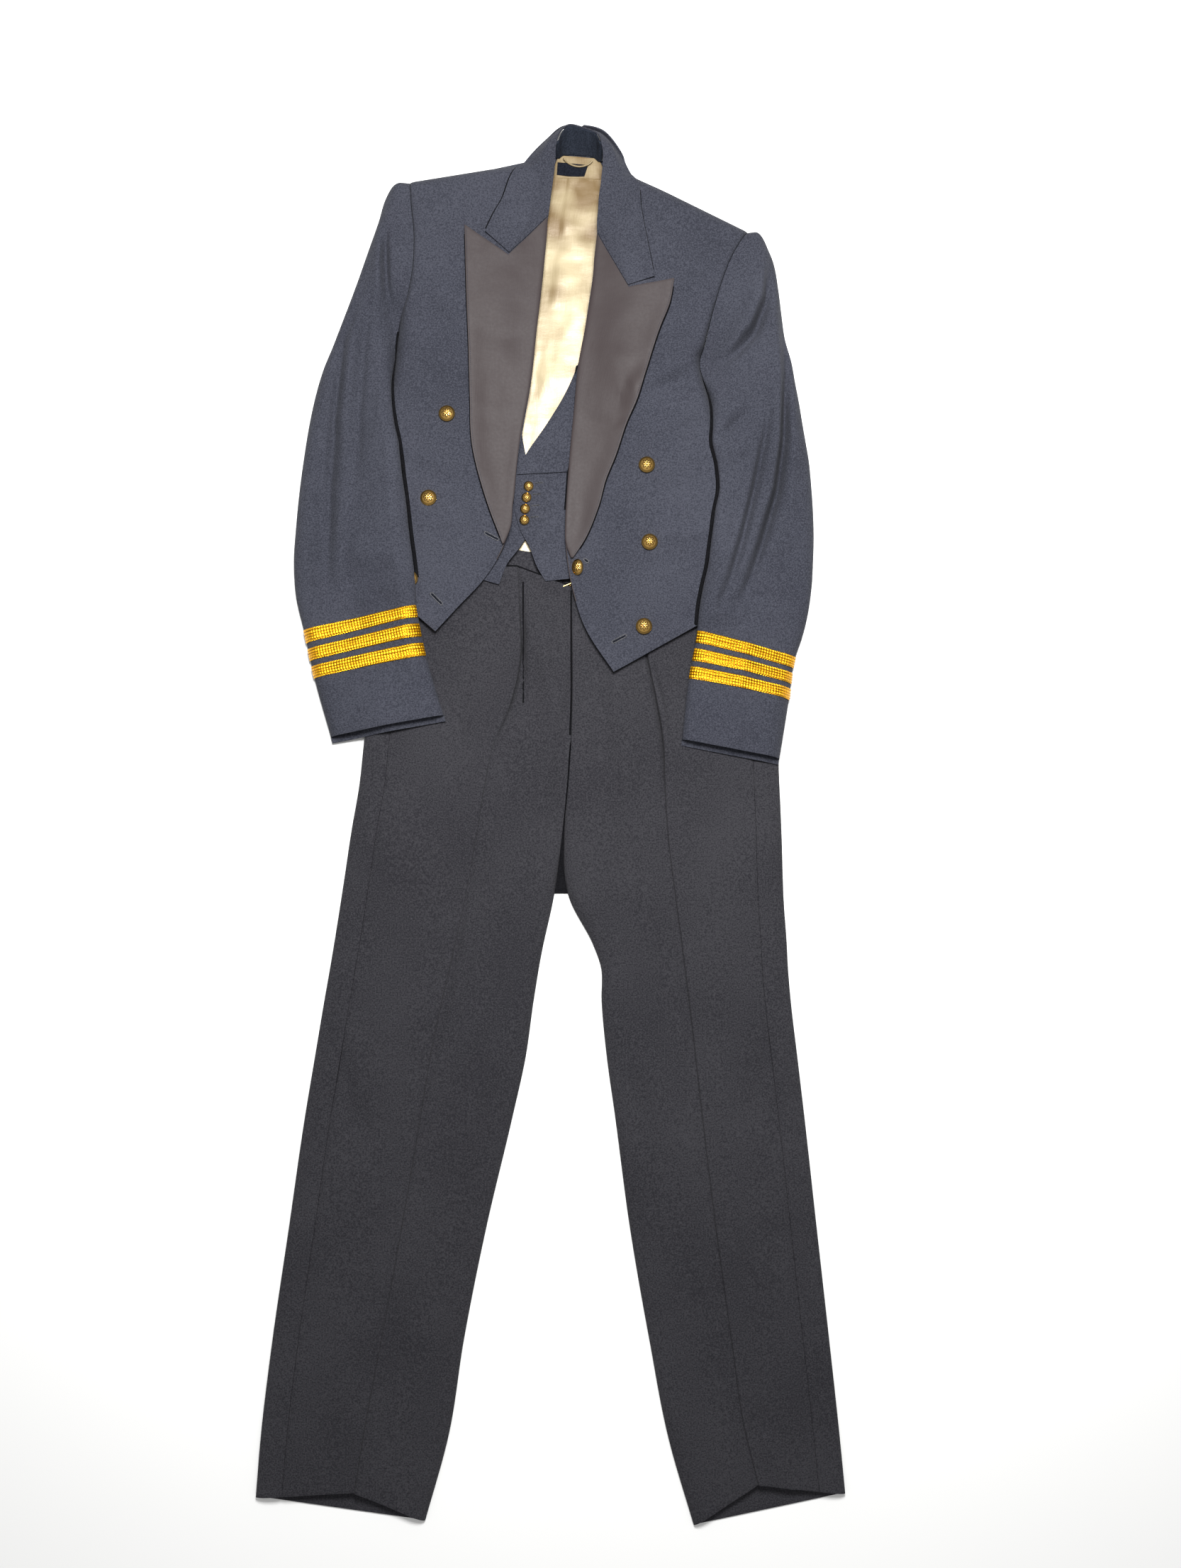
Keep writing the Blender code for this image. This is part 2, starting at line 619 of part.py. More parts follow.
def front_grid(rows, v, count):
    side = rows.point("side", v)
    edge = rows.point("edge", v)
    length = np.linalg.norm(edge - side, axis=1)
    across = spread(length, SIDE_ROLL, 8, count, 2, (True, False))
    plan = between(side, edge, across / length[:, None])
    crown = rows.read("crown", v)[:, None]
    side_z = rows.read("side_z", v)[:, None]
    edge_z = rows.read("edge_z", v)[:, None]
    open_side = step(12, 2.3, side_z)
    width = SEAM_ROLL + (SIDE_ROLL - SEAM_ROLL) * open_side
    low = np.maximum(side_z, FOLD_BASE)
    z = low + (crown - low) * roll(across, width)
    z -= (crown - edge_z) * step(0.55, 1, across / length[:, None])
    down = v[:, None] * rows.length
    z = FOLD_BASE + (z - FOLD_BASE) * roll(down, SHOULDER_ROLL)
    return np.dstack([plan, z])


def share_down(length, start, end, count, lip=False):
    return spread(length, start, end, count, 2, (lip, False))[0] / length


def with_value(v, wanted):
    """The same shares with the nearest one moved to the wanted value."""
    v = v.copy()
    v[np.argmin(np.abs(v - wanted))] = wanted
    return v


def leg_base(rows, v):
    return BASE_HIGH * step(BASE_LOW_Y, BASE_HIGH_Y, rows.read("outer_y", v))[:, None]


def leg_top(rows, v, to_crease, beyond, from_outer, tucked):
    """Height of a leg's upper surface: from_outer is how far in from the outer fold."""
    crown = rows.read("crown", v)[:, None]
    inner_z = rows.read("inner_z", v)[:, None]
    pleat = rows.read("pleat", v)[:, None]
    past = from_outer - to_crease
    from_inner = to_crease + beyond - from_outer
    mid = leg_base(rows, v) + LEG_UNDER_ROLL * UNDER_SHARE
    top = crown - 1.2 * np.clip(np.abs(past) / to_crease, 0, 1)
    pressed = step(60, -120, rows.read("crease_y", v))[:, None]
    top = top + CREASE_RIDGE * pressed * (np.exp(-np.abs(past) / 14) - 0.6)
    hollow = np.exp(-np.clip(past, 0, None) / PLEAT_REACH) * (past > 0.1)
    top = top - np.clip(pleat, 0, None) * hollow
    z = mid + (top - mid) * roll(from_outer, LEG_ROLL)
    drop = np.maximum(inner_z, TROUSER_WOOL + SEAM)
    in_leg = step(12, 2, inner_z)
    if tucked:
        inside = in_leg * roll(from_inner, 20) + (1 - in_leg) * step(0, FLY_TUCK, from_inner)
    else:
        inside = roll(from_inner, 3 + 17 * in_leg)
    return drop + (z - drop) * inside


def build_jacket_body():
    for side, table in (("left", FRONT_LEFT), ("right", FRONT_RIGHT)):
        rows = Rows(FRONT_COLUMNS, table)
        v = share_down(rows.length, SHOULDER_ROLL, 0, 13, True)
        v = with_value(v, rows.at[ARMPIT_ROW[side]])
        cloth(f"jacket_front_{side}", front_grid(rows, v, 5), JACKET_WOOL, "navy_barathea")
        edges[side] = rows
    outline = {}
    for side, rows in edges.items():
        down = with_value(np.linspace(0, 1, 22), rows.at[ARMPIT_ROW[side]])
        outline[side] = [tuple(p) for p in rows.point("side", down)]
    outline = outline["left"][::-1] + list(NECK_SEAM) + outline["right"]
    hem = np.array(BACK_HEM, float)
    at = np.linspace(0, 1, len(hem))
    fine = np.linspace(0, 1, 11)[1:-1]
    outline += list(zip(smooth(at, hem[:, 0], fine), smooth(at, hem[:, 1], fine)))
    outline_slab("jacket_back", outline, 0, BACK_TOP, "navy_barathea")


def satin_height(y):
    """Top of the waistcoat's satin back, which steps up over the jacket's lining."""
    return LINING_TOP + (SATIN_TOP - LINING_TOP) * step(675, 697, y)


def build_backs():
    rows = Rows(LINING_COLUMNS, LINING)
    v = np.linspace(0, 1, 4)
    plan = even(rows.point("left", v), rows.point("right", v), 4)
    grid = np.dstack([plan, np.full(plan.shape[:2], LINING_TOP)])
    cloth("jacket_lining_back", grid, SATIN, "gold_satin")
    rows = Rows(WAISTCOAT_BACK_COLUMNS, WAISTCOAT_BACK)
    v = np.sort(np.append(np.linspace(0, 1, 11), [0.135, 0.165]))
    left, right = rows.point("left", v), rows.point("right", v)
    pleat = PLEAT_TOP_X - PLEAT_SLOPE * (745 - left[:, 1])
    share = (pleat - left[:, 0]) / (right[:, 0] - left[:, 0])
    across = np.stack(
        [0 * share, share * 0.5, share - 0.004, share + 0.004, share + (1 - share) * 0.3,
         1 + 0 * share], axis=1
    )
    plan = between(left, right, across)
    z = satin_height(plan[..., 1])
    z[:, 3:] += PLEAT_RIDGE * np.exp(-(plan[:, 3:, 0] - pleat[:, None]) / 20)
    cloth("waistcoat_back", np.dstack([plan, z]), SATIN, "gold_satin")
    low = LINING_TOP + SEAM
    outline_slab("neck_label", LABEL, low, low + LABEL_THICK, "label_navy")
    build_loop()


def build_loop():
    """Hanger loop: a thin round cord that sags over the label."""
    curve = bpy.data.curves.new("hanger_loop", "CURVE")
    curve.dimensions = "3D"
    curve.bevel_depth = LOOP_ROUND * MM
    curve.bevel_resolution = 2
    curve.use_fill_caps = True
    spline = curve.splines.new("POLY")
    (x0, y0), (x1, y1) = LOOP_ENDS
    z = LINING_TOP + SEAM + LABEL_THICK + SEAM + LOOP_ROUND
    shares = np.linspace(0, 1, 11)
    spline.points.add(len(shares) - 1)
    for spot, share in zip(spline.points, shares):
        sag = LOOP_SAG * math.sin(math.pi * share) ** 0.6
        spot.co = ((x0 + (x1 - x0) * share) * MM, (y0 + (y1 - y0) * share - sag) * MM, z * MM, 1)
    curve.materials.append(material("gold_satin"))
    suit.objects.link(bpy.data.objects.new("hanger_loop", curve))


def build_waistcoat():
    for side, table in (("left", WAISTCOAT_LEFT), ("right", WAISTCOAT_RIGHT)):
        rows = Rows(WAISTCOAT_COLUMNS, table)
        v = share_down(rows.length, WAISTCOAT_ROLL, 0, 1, True)[:-1]
        v = np.concatenate([v, rows.at[1:]])
        start, end = rows.point("side", v), rows.point("edge", v)
        length = np.linalg.norm(end - start, axis=1)
        across = spread(length, WAISTCOAT_ROLL, 30, 3, 2, (True, False))
        plan = between(start, end, across / length[:, None])
        height = rows.read("height", v)[:, None]
        low = satin_height(plan[..., 1]) + SEAM + PLEAT_RIDGE
        down = v[:, None] * rows.length
        from_edge = length[:, None] - across
        z = height - (height - rows.read("edge_z", v)[:, None]) * step(35, 0, from_edge)
        z = low + (z - low) * roll(across, WAISTCOAT_ROLL) * roll(down, WAISTCOAT_ROLL)
        grid = np.dstack([plan, z])
        cloth(f"waistcoat_front_{side}", grid, WAISTCOAT_WOOL, "navy_barathea")
    rows = Rows(WAISTCOAT_COLLAR_COLUMNS, WAISTCOAT_COLLAR)
    v = np.linspace(0, 1, 8)
    plan = even(rows.point("roll", v), rows.point("edge", v), 4)
    grid = laid_on(("waistcoat_front_right",), plan, FACING)
    cloth("waistcoat_collar", grid, FACING, "navy_barathea")


def laid_on(names, plan, wall, least=0.0):
    """A grid of points for the upper side of a piece laid over the named ones."""
    trees = below(names)
    z = np.full(plan.shape[:2], 1.0) * least
    for i in np.ndindex(z.shape):
        x, y = plan[i]
        high = height_on(trees, x, y)
        for ring in (2, 5, 9):
            if high:
                break
            for k in range(12):
                angle = 2 * math.pi * k / 12
                beside = (x + ring * math.cos(angle), y + ring * math.sin(angle))
                high = max(high, height_on(trees, *beside))
        z[i] = max(z[i], high + wall + LAID_GAP)
    return np.dstack([plan, clear(plan, z, trees, wall + LAID_GAP)])


def build_trousers():
    for side, table in (("left", LEG_LEFT), ("right", LEG_RIGHT)):
        rows = Rows(LEG_COLUMNS, table)
        v = share_down(rows.length, 0, 0, 19)
        outer, crease, inner = (rows.point(n, v) for n in ("outer", "crease", "inner"))
        to_crease = np.linalg.norm(crease - outer, axis=1)[:, None]
        beyond = np.linalg.norm(inner - crease, axis=1)[:, None]
        seam = SIDE_SEAM_IN + 0 * to_crease

        def over_crease(distance):
            first = between(outer, crease, np.clip(distance / to_crease, 0, 1))
            second = between(crease, inner, np.clip((distance - to_crease) / beyond, 0, 1))
            return np.where((distance <= to_crease)[..., None], first, second)

        start = seam + SEAM
        ahead = start + (to_crease - start) * np.array([[0, 0.4, 0.8, 1]])
        past = np.concatenate([to_crease + 0.5 + 0 * beyond, to_crease + 0.3 * beyond], axis=1)
        tail = spread(beyond[:, 0] * 0.6, 14, 0, 2, 2, (True, False))[:, ::-1]
        distance = np.concatenate([ahead, past, to_crease + beyond - tail], axis=1)
        z = leg_top(rows, v, to_crease, beyond, distance, side == "left")
        grid = np.dstack([over_crease(distance), z])
        cloth(f"trouser_front_{side}", grid, TROUSER_WOOL, "trouser_wool")

        top = spread(seam[:, 0], 12, 0, 2)
        z_top = leg_top(rows, v, to_crease, beyond, top, side == "left")
        reach = np.stack([rows.read("back_reach", v), inner[:, 1]], axis=1)
        whole = np.linalg.norm(reach - outer, axis=1)[:, None]
        under = spread(whole[:, 0], LEG_UNDER_ROLL, 0, 4)[:, 1:]
        curve = leg_base(rows, v) + LEG_UNDER_ROLL * UNDER_SHARE * (1 - roll(under, LEG_UNDER_ROLL))
        low_plan = between(outer, reach, under / whole)
        low_plan[..., 1] += WAIST_RISE * step(8, WAIST_REACH, under) * step(0.03, 0, v)[:, None]
        plan = np.concatenate([over_crease(top)[:, ::-1], low_plan], axis=1)
        z = np.concatenate([z_top[:, ::-1], curve], axis=1)
        cloth(f"trouser_back_{side}", np.dstack([plan, z]), TROUSER_WOOL, "trouser_wool", False)
    build_hook()


def build_hook():
    """Brass hook at the top of the fly: a plain plate on the left front's edge."""
    x, y = HOOK_AT
    wide, deep, thick = HOOK_SIZE
    trees = below(("trouser_front_left", "trouser_front_right"))
    high = 0.0
    for dx in (-0.5, 0, 0.5):
        for dy in (-0.5, -0.3, 0, 0.3, 0.5):
            high = max(high, height_on(trees, x + dx * wide, y + dy * deep))
    outline = [(x - wide / 2, y - deep / 2), (x + wide / 2, y - deep / 2),
               (x + wide / 2, y + deep / 2), (x - wide / 2, y + deep / 2)]
    low = high + SEAM
    outline_slab("trouser_hook", outline, low, low + thick, "brass")


def armhole(side, y):
    """The armhole's line and height at each y, on the side of the sleeve."""
    rows = edges[side]
    v = np.linspace(0, 1, 160)
    line = rows.point("side", v)
    x = np.interp(-y, -line[:, 1], line[:, 0])
    v = np.interp(-y, -line[:, 1], v)
    height = FOLD_BASE + (rows.read("side_z", v) - FOLD_BASE) * roll(v * rows.length, SHOULDER_ROLL)
    return x + (-BODY_GAP if side == "left" else BODY_GAP), height


def normals(grid):
    """Unit normals of a grid of points, turned to the upper side."""
    down = np.gradient(grid, axis=0)
    over = np.gradient(grid, axis=1)
    out = np.cross(down, over)
    out /= np.linalg.norm(out, axis=2)[..., None]
    return out * (1 if out[out.shape[0] // 2, out.shape[1] // 2, 2] > 0 else -1)


def build_sleeves():
    for side, table, folds in (
        ("left", SLEEVE_LEFT, FOLDS_LEFT_SLEEVE),
        ("right", SLEEVE_RIGHT, FOLDS_RIGHT_SLEEVE),
    ):
        trees = below((f"jacket_front_{side}", f"trouser_front_{side}", f"trouser_back_{side}"))
        rows = Rows(SLEEVE_COLUMNS, table)
        high, low = rows.at[LACE_TOP_ROW], rows.at[LACE_LOW_ROW]
        lace_v = [high + (low - high) * share for share in LACE_SHARES]
        lip = UPRIGHT * SLEEVE_ROLL / rows.length
        v = np.concatenate([[0, lip], rows.at[1:LACE_TOP_ROW], lace_v, [(low + 1) / 2, 1]])
        outer, inner = rows.point("outer", v), rows.point("inner", v)
        lift = np.clip(rows.read("lift", v), 0, 1)
        body_x, body_z = armhole(side, inner[:, 1])
        inner[:, 0] += (1 - lift) * (body_x - inner[:, 0])
        length = np.linalg.norm(inner - outer, axis=1)[:, None]
        across = spread(length[:, 0], SLEEVE_ROLL, SLEEVE_ROLL, 4, 2, (True, True))
        width = SLEEVE_ROLL * np.minimum(1, 0.4 * length / SLEEVE_ROLL)
        plan = between(outer, inner, across / length)

        low_plan = plan[:, UNDER_COLUMNS]
        cuff = low_plan[-1] - low_plan[-2]
        far = np.linalg.norm(cuff, axis=1)
        low_plan[-1] += cuff * CUFF_STEP / far[:, None]
        base = clear(low_plan, falling(low_plan, trees) * lift[:, None], trees, REST_GAP)
        base[lift <= 0] = 0
        under = np.dstack([low_plan, base + SLEEVE_WOOL])
        cloth(f"sleeve_under_{side}", under, SLEEVE_WOOL, "navy_barathea")

        base[-1] += (base[-2] - base[-1]) * CUFF_STEP / (far + CUFF_STEP)
        few = across[:, UNDER_COLUMNS]
        seat = np.stack([np.interp(a, f, b) for a, f, b in zip(across, few, base)])
        ends = np.stack([np.interp([INSET, f[-1] - INSET], f, b) for f, b in zip(few, base)])
        rise = np.clip(ends - seat[:, [0, -1]], 0, None)
        rise = np.maximum(rise, np.maximum(np.roll(rise, 1, 0), np.roll(rise, -1, 0)))
        seat[:, :2] += rise[:, :1]
        seat[:, -2:] += rise[:, 1:]

        floor = seat + SLEEVE_WOOL + SEAM + UNDER_SLOPE_ROOM
        crown = rows.read("crown", v)[:, None] * (1 - SETTLE * np.clip(seat / 20, 0, 1))
        puff = crown + fold_height(plan[..., 0], plan[..., 1], folds) - SLEEVE_WOOL - SEAM
        puff = np.clip(puff, 0, None) * roll(v * rows.length, SLEEVE_ROLL)[:, None]
        sewn = (v <= rows.at[SLEEVE_ARMPIT_ROW[side]] + 1e-6)[:, None]
        inside = length - across
        near = (1 - step(0, CAP_REACH, inside)) * sewn
        puff *= np.where(sewn, 1, roll(inside, width))
        to_body = np.clip(body_z[:, None] - floor, 0, None)
        z = floor + ((1 - near) * puff + near * to_body) * roll(across, width)
        top = np.dstack([plan, z])
        cloth(f"sleeve_top_{side}", top, SLEEVE_WOOL, "navy_barathea")
        out = normals(top)
        for number in (1, 2, 3):
            first = len(v) - 8 + 2 * (number - 1)
            band = slice(first, first + 2)
            grid = top[band, 1:-1] + out[band, 1:-1] * (SEAM + LACE_THICK)
            cloth(f"cuff_lace_{side}_{number}", grid, LACE_THICK, "gold_lace")


def build_lapels():
    for side, table in (("left", LAPEL_LEFT), ("right", LAPEL_RIGHT)):
        rows = Rows(LAPEL_COLUMNS, table)
        v = np.linspace(0, 1, 14)
        first = even(rows.point("roll", v), rows.point("mid", v), 4)
        second = even(rows.point("mid", v), rows.point("edge", v), 3)
        plan = np.concatenate([first, second[:, 1:]], axis=1)
        grid = laid_on((f"jacket_front_{side}",), plan, FACING)
        lift = rows.read("lift", v)[:, None]
        grid[..., 2] += lift * np.linspace(0, 1, plan.shape[1])[None, :] ** 2
        cloth(f"lapel_{side}", grid, FACING, "lapel_satin")


def ribbon(rows, v, names, shares):
    """Points on straight lines from one named curve of a table to the next."""
    knots = [np.column_stack([rows.point(n, v), rows.read(n + "_z", v)]) for n in names]
    parts = [knots[0][:, None]]
    for a, b in zip(knots, knots[1:]):
        parts.append(a[:, None] + (b - a)[:, None] * shares[None, :, None])
    return np.concatenate(parts, axis=1)


def build_collar():
    rows = Rows(COLLAR_COLUMNS, COLLAR)
    grid = ribbon(rows, np.linspace(0, 1, 25), ("fold", "mid", "edge"), np.array([0.33, 0.67, 1]))
    names = ("jacket_front_left", "jacket_front_right", "lapel_left", "lapel_right")
    grid = laid_on(names, grid[..., :2], FACING, grid[..., 2])
    cloth("collar", grid, FACING, "navy_barathea")
    rows = Rows(STAND_COLUMNS, STAND)
    grid = ribbon(rows, np.linspace(0, 1, 9), ("seam", "fold"), np.array([0.33, 0.67, 1]))
    cloth("collar_stand", grid, FACING, "navy_dark")


def turned(name, profile, steps, finish):
    """A turned piece: its profile of (radius, height) in millimetres round the upright axis."""
    mesh = bpy.data.meshes.new(name)
    points = [(r * MM, 0, z * MM) for r, z in profile]
    mesh.from_pydata(points, [(k, k + 1) for k in range(len(points) - 1)], [])
    obj = bpy.data.objects.new(name, mesh)
    suit.objects.link(obj)
    screw = obj.modifiers.new("turn", "SCREW")
    screw.axis = "Z"
    screw.steps = steps
    screw.render_steps = steps
    screw.use_merge_vertices = True
    screw.merge_threshold = 0.00001
    mesh.materials.append(material(finish))
    return obj


def button(name, across, x, y, carrier):
    radius = across / 2
    dome = BUTTON_DOME * across
    profile = [(0, dome)]
    for angle in (math.radians(35), math.radians(65)):
        rise = BUTTON_RIM + (dome - BUTTON_RIM) * math.cos(angle)
        profile.append((radius * 0.94 * math.sin(angle), rise))
    profile += [(radius, BUTTON_RIM), (radius * BUTTON_FOOT, 0), (0, 0)]
    obj = turned(name, profile, BUTTON_STEPS, "brass")
    trees = below((carrier,))
    high = height_on(trees, x, y)
    for k in range(BUTTON_STEPS):
        angle = 2 * math.pi * k / BUTTON_STEPS
        for reach in (radius * 0.5, radius * 0.9):
            beside = (x + reach * math.cos(angle), y + reach * math.sin(angle))
            high = max(high, height_on(trees, *beside))
    obj.location = (x * MM, y * MM, (high + SEAM) * MM)
    return x, y, radius, high + SEAM, dome


def build_buttons():
    for name, x, y, carrier in JACKET_BUTTONS:
        studs.append(button(name, JACKET_BUTTON, x, y, carrier))
    for number, (x, y) in enumerate(WAISTCOAT_BUTTONS, 1):
        name = f"waistcoat_button_{number}"
        studs.append(button(name, WAISTCOAT_BUTTON, x, y, "waistcoat_front_right"))


for old in list(bpy.data.objects):
    bpy.data.objects.remove(old, do_unlink=True)
suit = bpy.data.collections.new("mess_dress_uniform")
bpy.context.scene.collection.children.link(suit)
surfaces = {}
edges = {}
studs = []
build_jacket_body()
build_backs()
build_waistcoat()
build_trousers()
build_lapels()
build_collar()
build_buttons()
build_sleeves()
for piece in suit.objects:
    piece.location.x -= MIDDLE[0] * MM
    piece.location.y -= MIDDLE[1] * MM
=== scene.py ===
# The looks of a mess dress suit laid flat on its back: jacket, waistcoat and trousers.
# The collar is toward +Y, and left and right are the viewer's. Tables are in millimetres.

import math

import bpy
import numpy as np
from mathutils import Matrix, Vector, noise
from mathutils.bvhtree import BVHTree


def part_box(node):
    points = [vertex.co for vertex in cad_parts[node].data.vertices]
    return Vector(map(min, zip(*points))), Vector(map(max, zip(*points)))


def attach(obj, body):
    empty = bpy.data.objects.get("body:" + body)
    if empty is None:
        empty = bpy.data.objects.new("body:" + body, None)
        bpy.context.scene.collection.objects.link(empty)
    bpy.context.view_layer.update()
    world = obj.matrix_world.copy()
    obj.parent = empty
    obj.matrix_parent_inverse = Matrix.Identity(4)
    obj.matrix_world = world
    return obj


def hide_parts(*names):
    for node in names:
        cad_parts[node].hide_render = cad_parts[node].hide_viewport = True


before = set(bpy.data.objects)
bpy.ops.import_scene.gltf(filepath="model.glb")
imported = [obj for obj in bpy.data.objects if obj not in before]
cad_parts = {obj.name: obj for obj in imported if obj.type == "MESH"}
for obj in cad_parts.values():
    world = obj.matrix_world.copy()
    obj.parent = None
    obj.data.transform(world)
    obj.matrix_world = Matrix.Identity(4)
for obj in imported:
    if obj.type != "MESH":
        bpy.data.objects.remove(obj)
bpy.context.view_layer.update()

mm = 0.001
middle = (0.5, 2.9)        # the plan's middle, which stands at the origin

# Heights and gaps of the stack, shared by all pieces
stack = {
    "seam": 0.3,           # gap at a seam
    "jacketWall": 2.0,
    "trouserWall": 1.6,
    "sleeveWall": 1.8,
    "waistcoatWall": 1.8,
    "facingWall": 1.6,
    "satinWall": 1.0,
    "laidGap": 0.5,
}
backTop = stack["jacketWall"]
liningTop = backTop + stack["seam"] + stack["satinWall"]
satinTop = liningTop + stack["seam"] + stack["satinWall"]
foldBase = backTop + stack["seam"]

surfaces = {}
materials = {}


# Small tools for curves, grids and folds

def smooth(atRows, values, at):
    slopes = np.gradient(values, atRows)
    i = np.clip(np.searchsorted(atRows, at, side="right") - 1, 0, len(atRows) - 2)
    span = atRows[i + 1] - atRows[i]
    s = (at - atRows[i]) / span
    return (
        values[i] * (2 * s**3 - 3 * s**2 + 1)
        + slopes[i] * span * (s**3 - 2 * s**2 + s)
        + values[i + 1] * (3 * s**2 - 2 * s**3)
        + slopes[i + 1] * span * (s**3 - s**2)
    )


def step(low, high, x):
    s = np.clip((x - low) / (high - low), 0, 1)
    return s * s * (3 - 2 * s)


def roll(distance, width):
    s = np.clip(distance / width, 0, 1)
    return np.sqrt(np.clip(1 - (1 - s) ** 2, 0, 1))


def spread(length, start, end, count, turns=7):
    # distances from 0 to each length, close together on the rolls at both ends
    length = np.atleast_1d(np.asarray(length, float))[:, None]
    shrink = np.minimum(1, 0.8 * length / max(start + end, 1e-6))
    shares = 1 - np.cos(np.linspace(0, math.pi / 2, turns + 1))
    first = start * shrink * shares if start else 0 * shrink
    last = length - (end * shrink * shares)[:, ::-1] if end else length
    inside = np.linspace(0, 1, count + 1)[1:-1]
    centre = first[:, -1:] + (last[:, :1] - first[:, -1:]) * inside
    return np.concatenate([first, centre, last], axis=1)


class PanelRows:
    # a table of rows down a panel, read smoothly at any share v of the way down it

    def __init__(self, columns, rows):
        self.columns = columns
        self.values = np.array(rows, float)
        pairs = [n[:-2] for n in columns if n.endswith("_x")]
        ends = self.values[:, [columns.index(pairs[-1] + "_x"), columns.index(pairs[-1] + "_y")]]
        length = (
            np.linalg.norm(np.diff(self.values[:, :2], axis=0), axis=1)
            + np.linalg.norm(np.diff(ends, axis=0), axis=1)
        ) / 2
        self.length = length.sum()
        self.at = np.concatenate([[0], np.cumsum(length)]) / self.length

    def read(self, name, v):
        return smooth(self.at, self.values[:, self.columns.index(name)], v)

    def point(self, name, v):
        return np.stack([self.read(name + "_x", v), self.read(name + "_y", v)], axis=-1)


def rolledRows(rows, width, count):
    # shares of the way down, close together on the roll at the top
    return np.clip(spread(rows.length, width, 0, count)[0] / rows.length, 0, 1)


def between(a, b, share):
    return a[:, None, :] + (b - a)[:, None, :] * share[..., None]


def even(a, b, count):
    return between(a, b, np.tile(np.linspace(0, 1, count), (len(a), 1)))


def foldHeight(x, y, folds):
    # each fold has its points, height, the widths on its two sides, and how blunt its ends are
    total = np.zeros_like(x)
    for points, height, before, past in folds:
        points = np.array(points, float)
        parts = np.diff(points, axis=0)
        lengths = np.linalg.norm(parts, axis=1)
        best = np.full(x.shape, 1e9)
        side = np.zeros_like(x)
        along = np.zeros_like(x)
        for k, (start, part, length) in enumerate(zip(points, parts, lengths)):
            t = np.clip(((x - start[0]) * part[0] + (y - start[1]) * part[1]) / length**2, 0, 1)
            dx = x - start[0] - t * part[0]
            dy = y - start[1] - t * part[1]
            near = np.hypot(dx, dy)
            closer = near < best
            best = np.where(closer, near, best)
            side = np.where(closer, part[0] * dy - part[1] * dx, side)
            along = np.where(closer, lengths[:k].sum() + t * length, along)
        share = along / lengths.sum()
        blend = 0.5 + 0.5 * np.tanh(side / np.max(lengths) / 4)
        width = past + (before - past) * blend
        total += height * np.exp(-((best / width) ** 2)) * np.sin(math.pi * share) ** 0.7
    return total


def ripple(x, y, size, seed, stretch=(1, 1)):
    # an even noise over the plan, from -1 to 1, turned so that its lattice doesn't show
    across, down = x / size * stretch[0], y / size * stretch[1]
    turned = np.stack([0.82 * across + 0.57 * down, 0.82 * down - 0.57 * across], axis=-1)
    values = []
    for px, py in turned.reshape(-1, 2):
        fine = noise.noise(Vector((1.9 * px, 1.9 * py, seed + 5)))
        values.append(noise.noise(Vector((px, py, seed))) + 0.3 * fine)
    return np.array(values).reshape(x.shape)


def soften(z, passes):
    for _ in range(passes):
        wide = np.pad(z, 1, mode="edge")
        z = (wide[1:-1, :-2] + wide[1:-1, 2:] + wide[:-2, 1:-1] + wide[2:, 1:-1] + 4 * z) / 8
    return z


def normals(grid):
    out = np.cross(np.gradient(grid, axis=0), np.gradient(grid, axis=1))
    out /= np.maximum(np.linalg.norm(out, axis=2), 1e-9)[..., None]
    return out * (1 if out[out.shape[0] // 2, out.shape[1] // 2, 2] > 0 else -1)


def treeOf(name):
    # what cloth laid later lies on: a finished surface, or else the frame's own node
    if name in surfaces:
        grid, faces = surfaces[name]
        return BVHTree.FromPolygons(grid.reshape(-1, 3).tolist(), faces.tolist())
    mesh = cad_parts[name].data
    points = [(v.co.x / mm + middle[0], v.co.y / mm + middle[1], v.co.z / mm) for v in mesh.vertices]
    return BVHTree.FromPolygons(points, [tuple(p.vertices) for p in mesh.polygons])


def heightOn(trees, x, y):
    high = 0.0
    for tree in trees:
        hit = tree.ray_cast(Vector((x, y, 200)), Vector((0, 0, -1)))[0]
        if hit is not None:
            high = max(high, hit.z)
    return high


def heightsOn(trees, plan):
    z = np.zeros(plan.shape[:2])
    for i in np.ndindex(z.shape):
        z[i] = heightOn(trees, *plan[i])
    return z


def laidOn(names, plan, wall, least=0.0, passes=3):
    # heights of a piece's upper side, laid over the named pieces
    z = heightsOn([treeOf(name) for name in names], plan)
    known = np.where(z > 0, z, np.nan)
    for _ in range(40):
        if not np.isnan(known).any():
            break
        wide = np.pad(known, 1, constant_values=np.nan)
        around = np.stack([wide[1:-1, :-2], wide[1:-1, 2:], wide[:-2, 1:-1], wide[2:, 1:-1]])
        count = np.maximum((~np.isnan(around)).sum(axis=0), 1)
        mean = np.nansum(around, axis=0) / count
        empty = np.isnan(known) & ((~np.isnan(around)).sum(axis=0) > 0)
        known = np.where(empty, mean, known)
    z = np.maximum(np.nan_to_num(known) + wall + stack["laidGap"], least)
    return np.maximum(soften(z, passes), z - 0.3)


# Making the pieces

def inFrame(points):
    # millimetres of the plan to metres of the frame
    return (np.array(points, float) - np.array([*middle, 0])) * mm


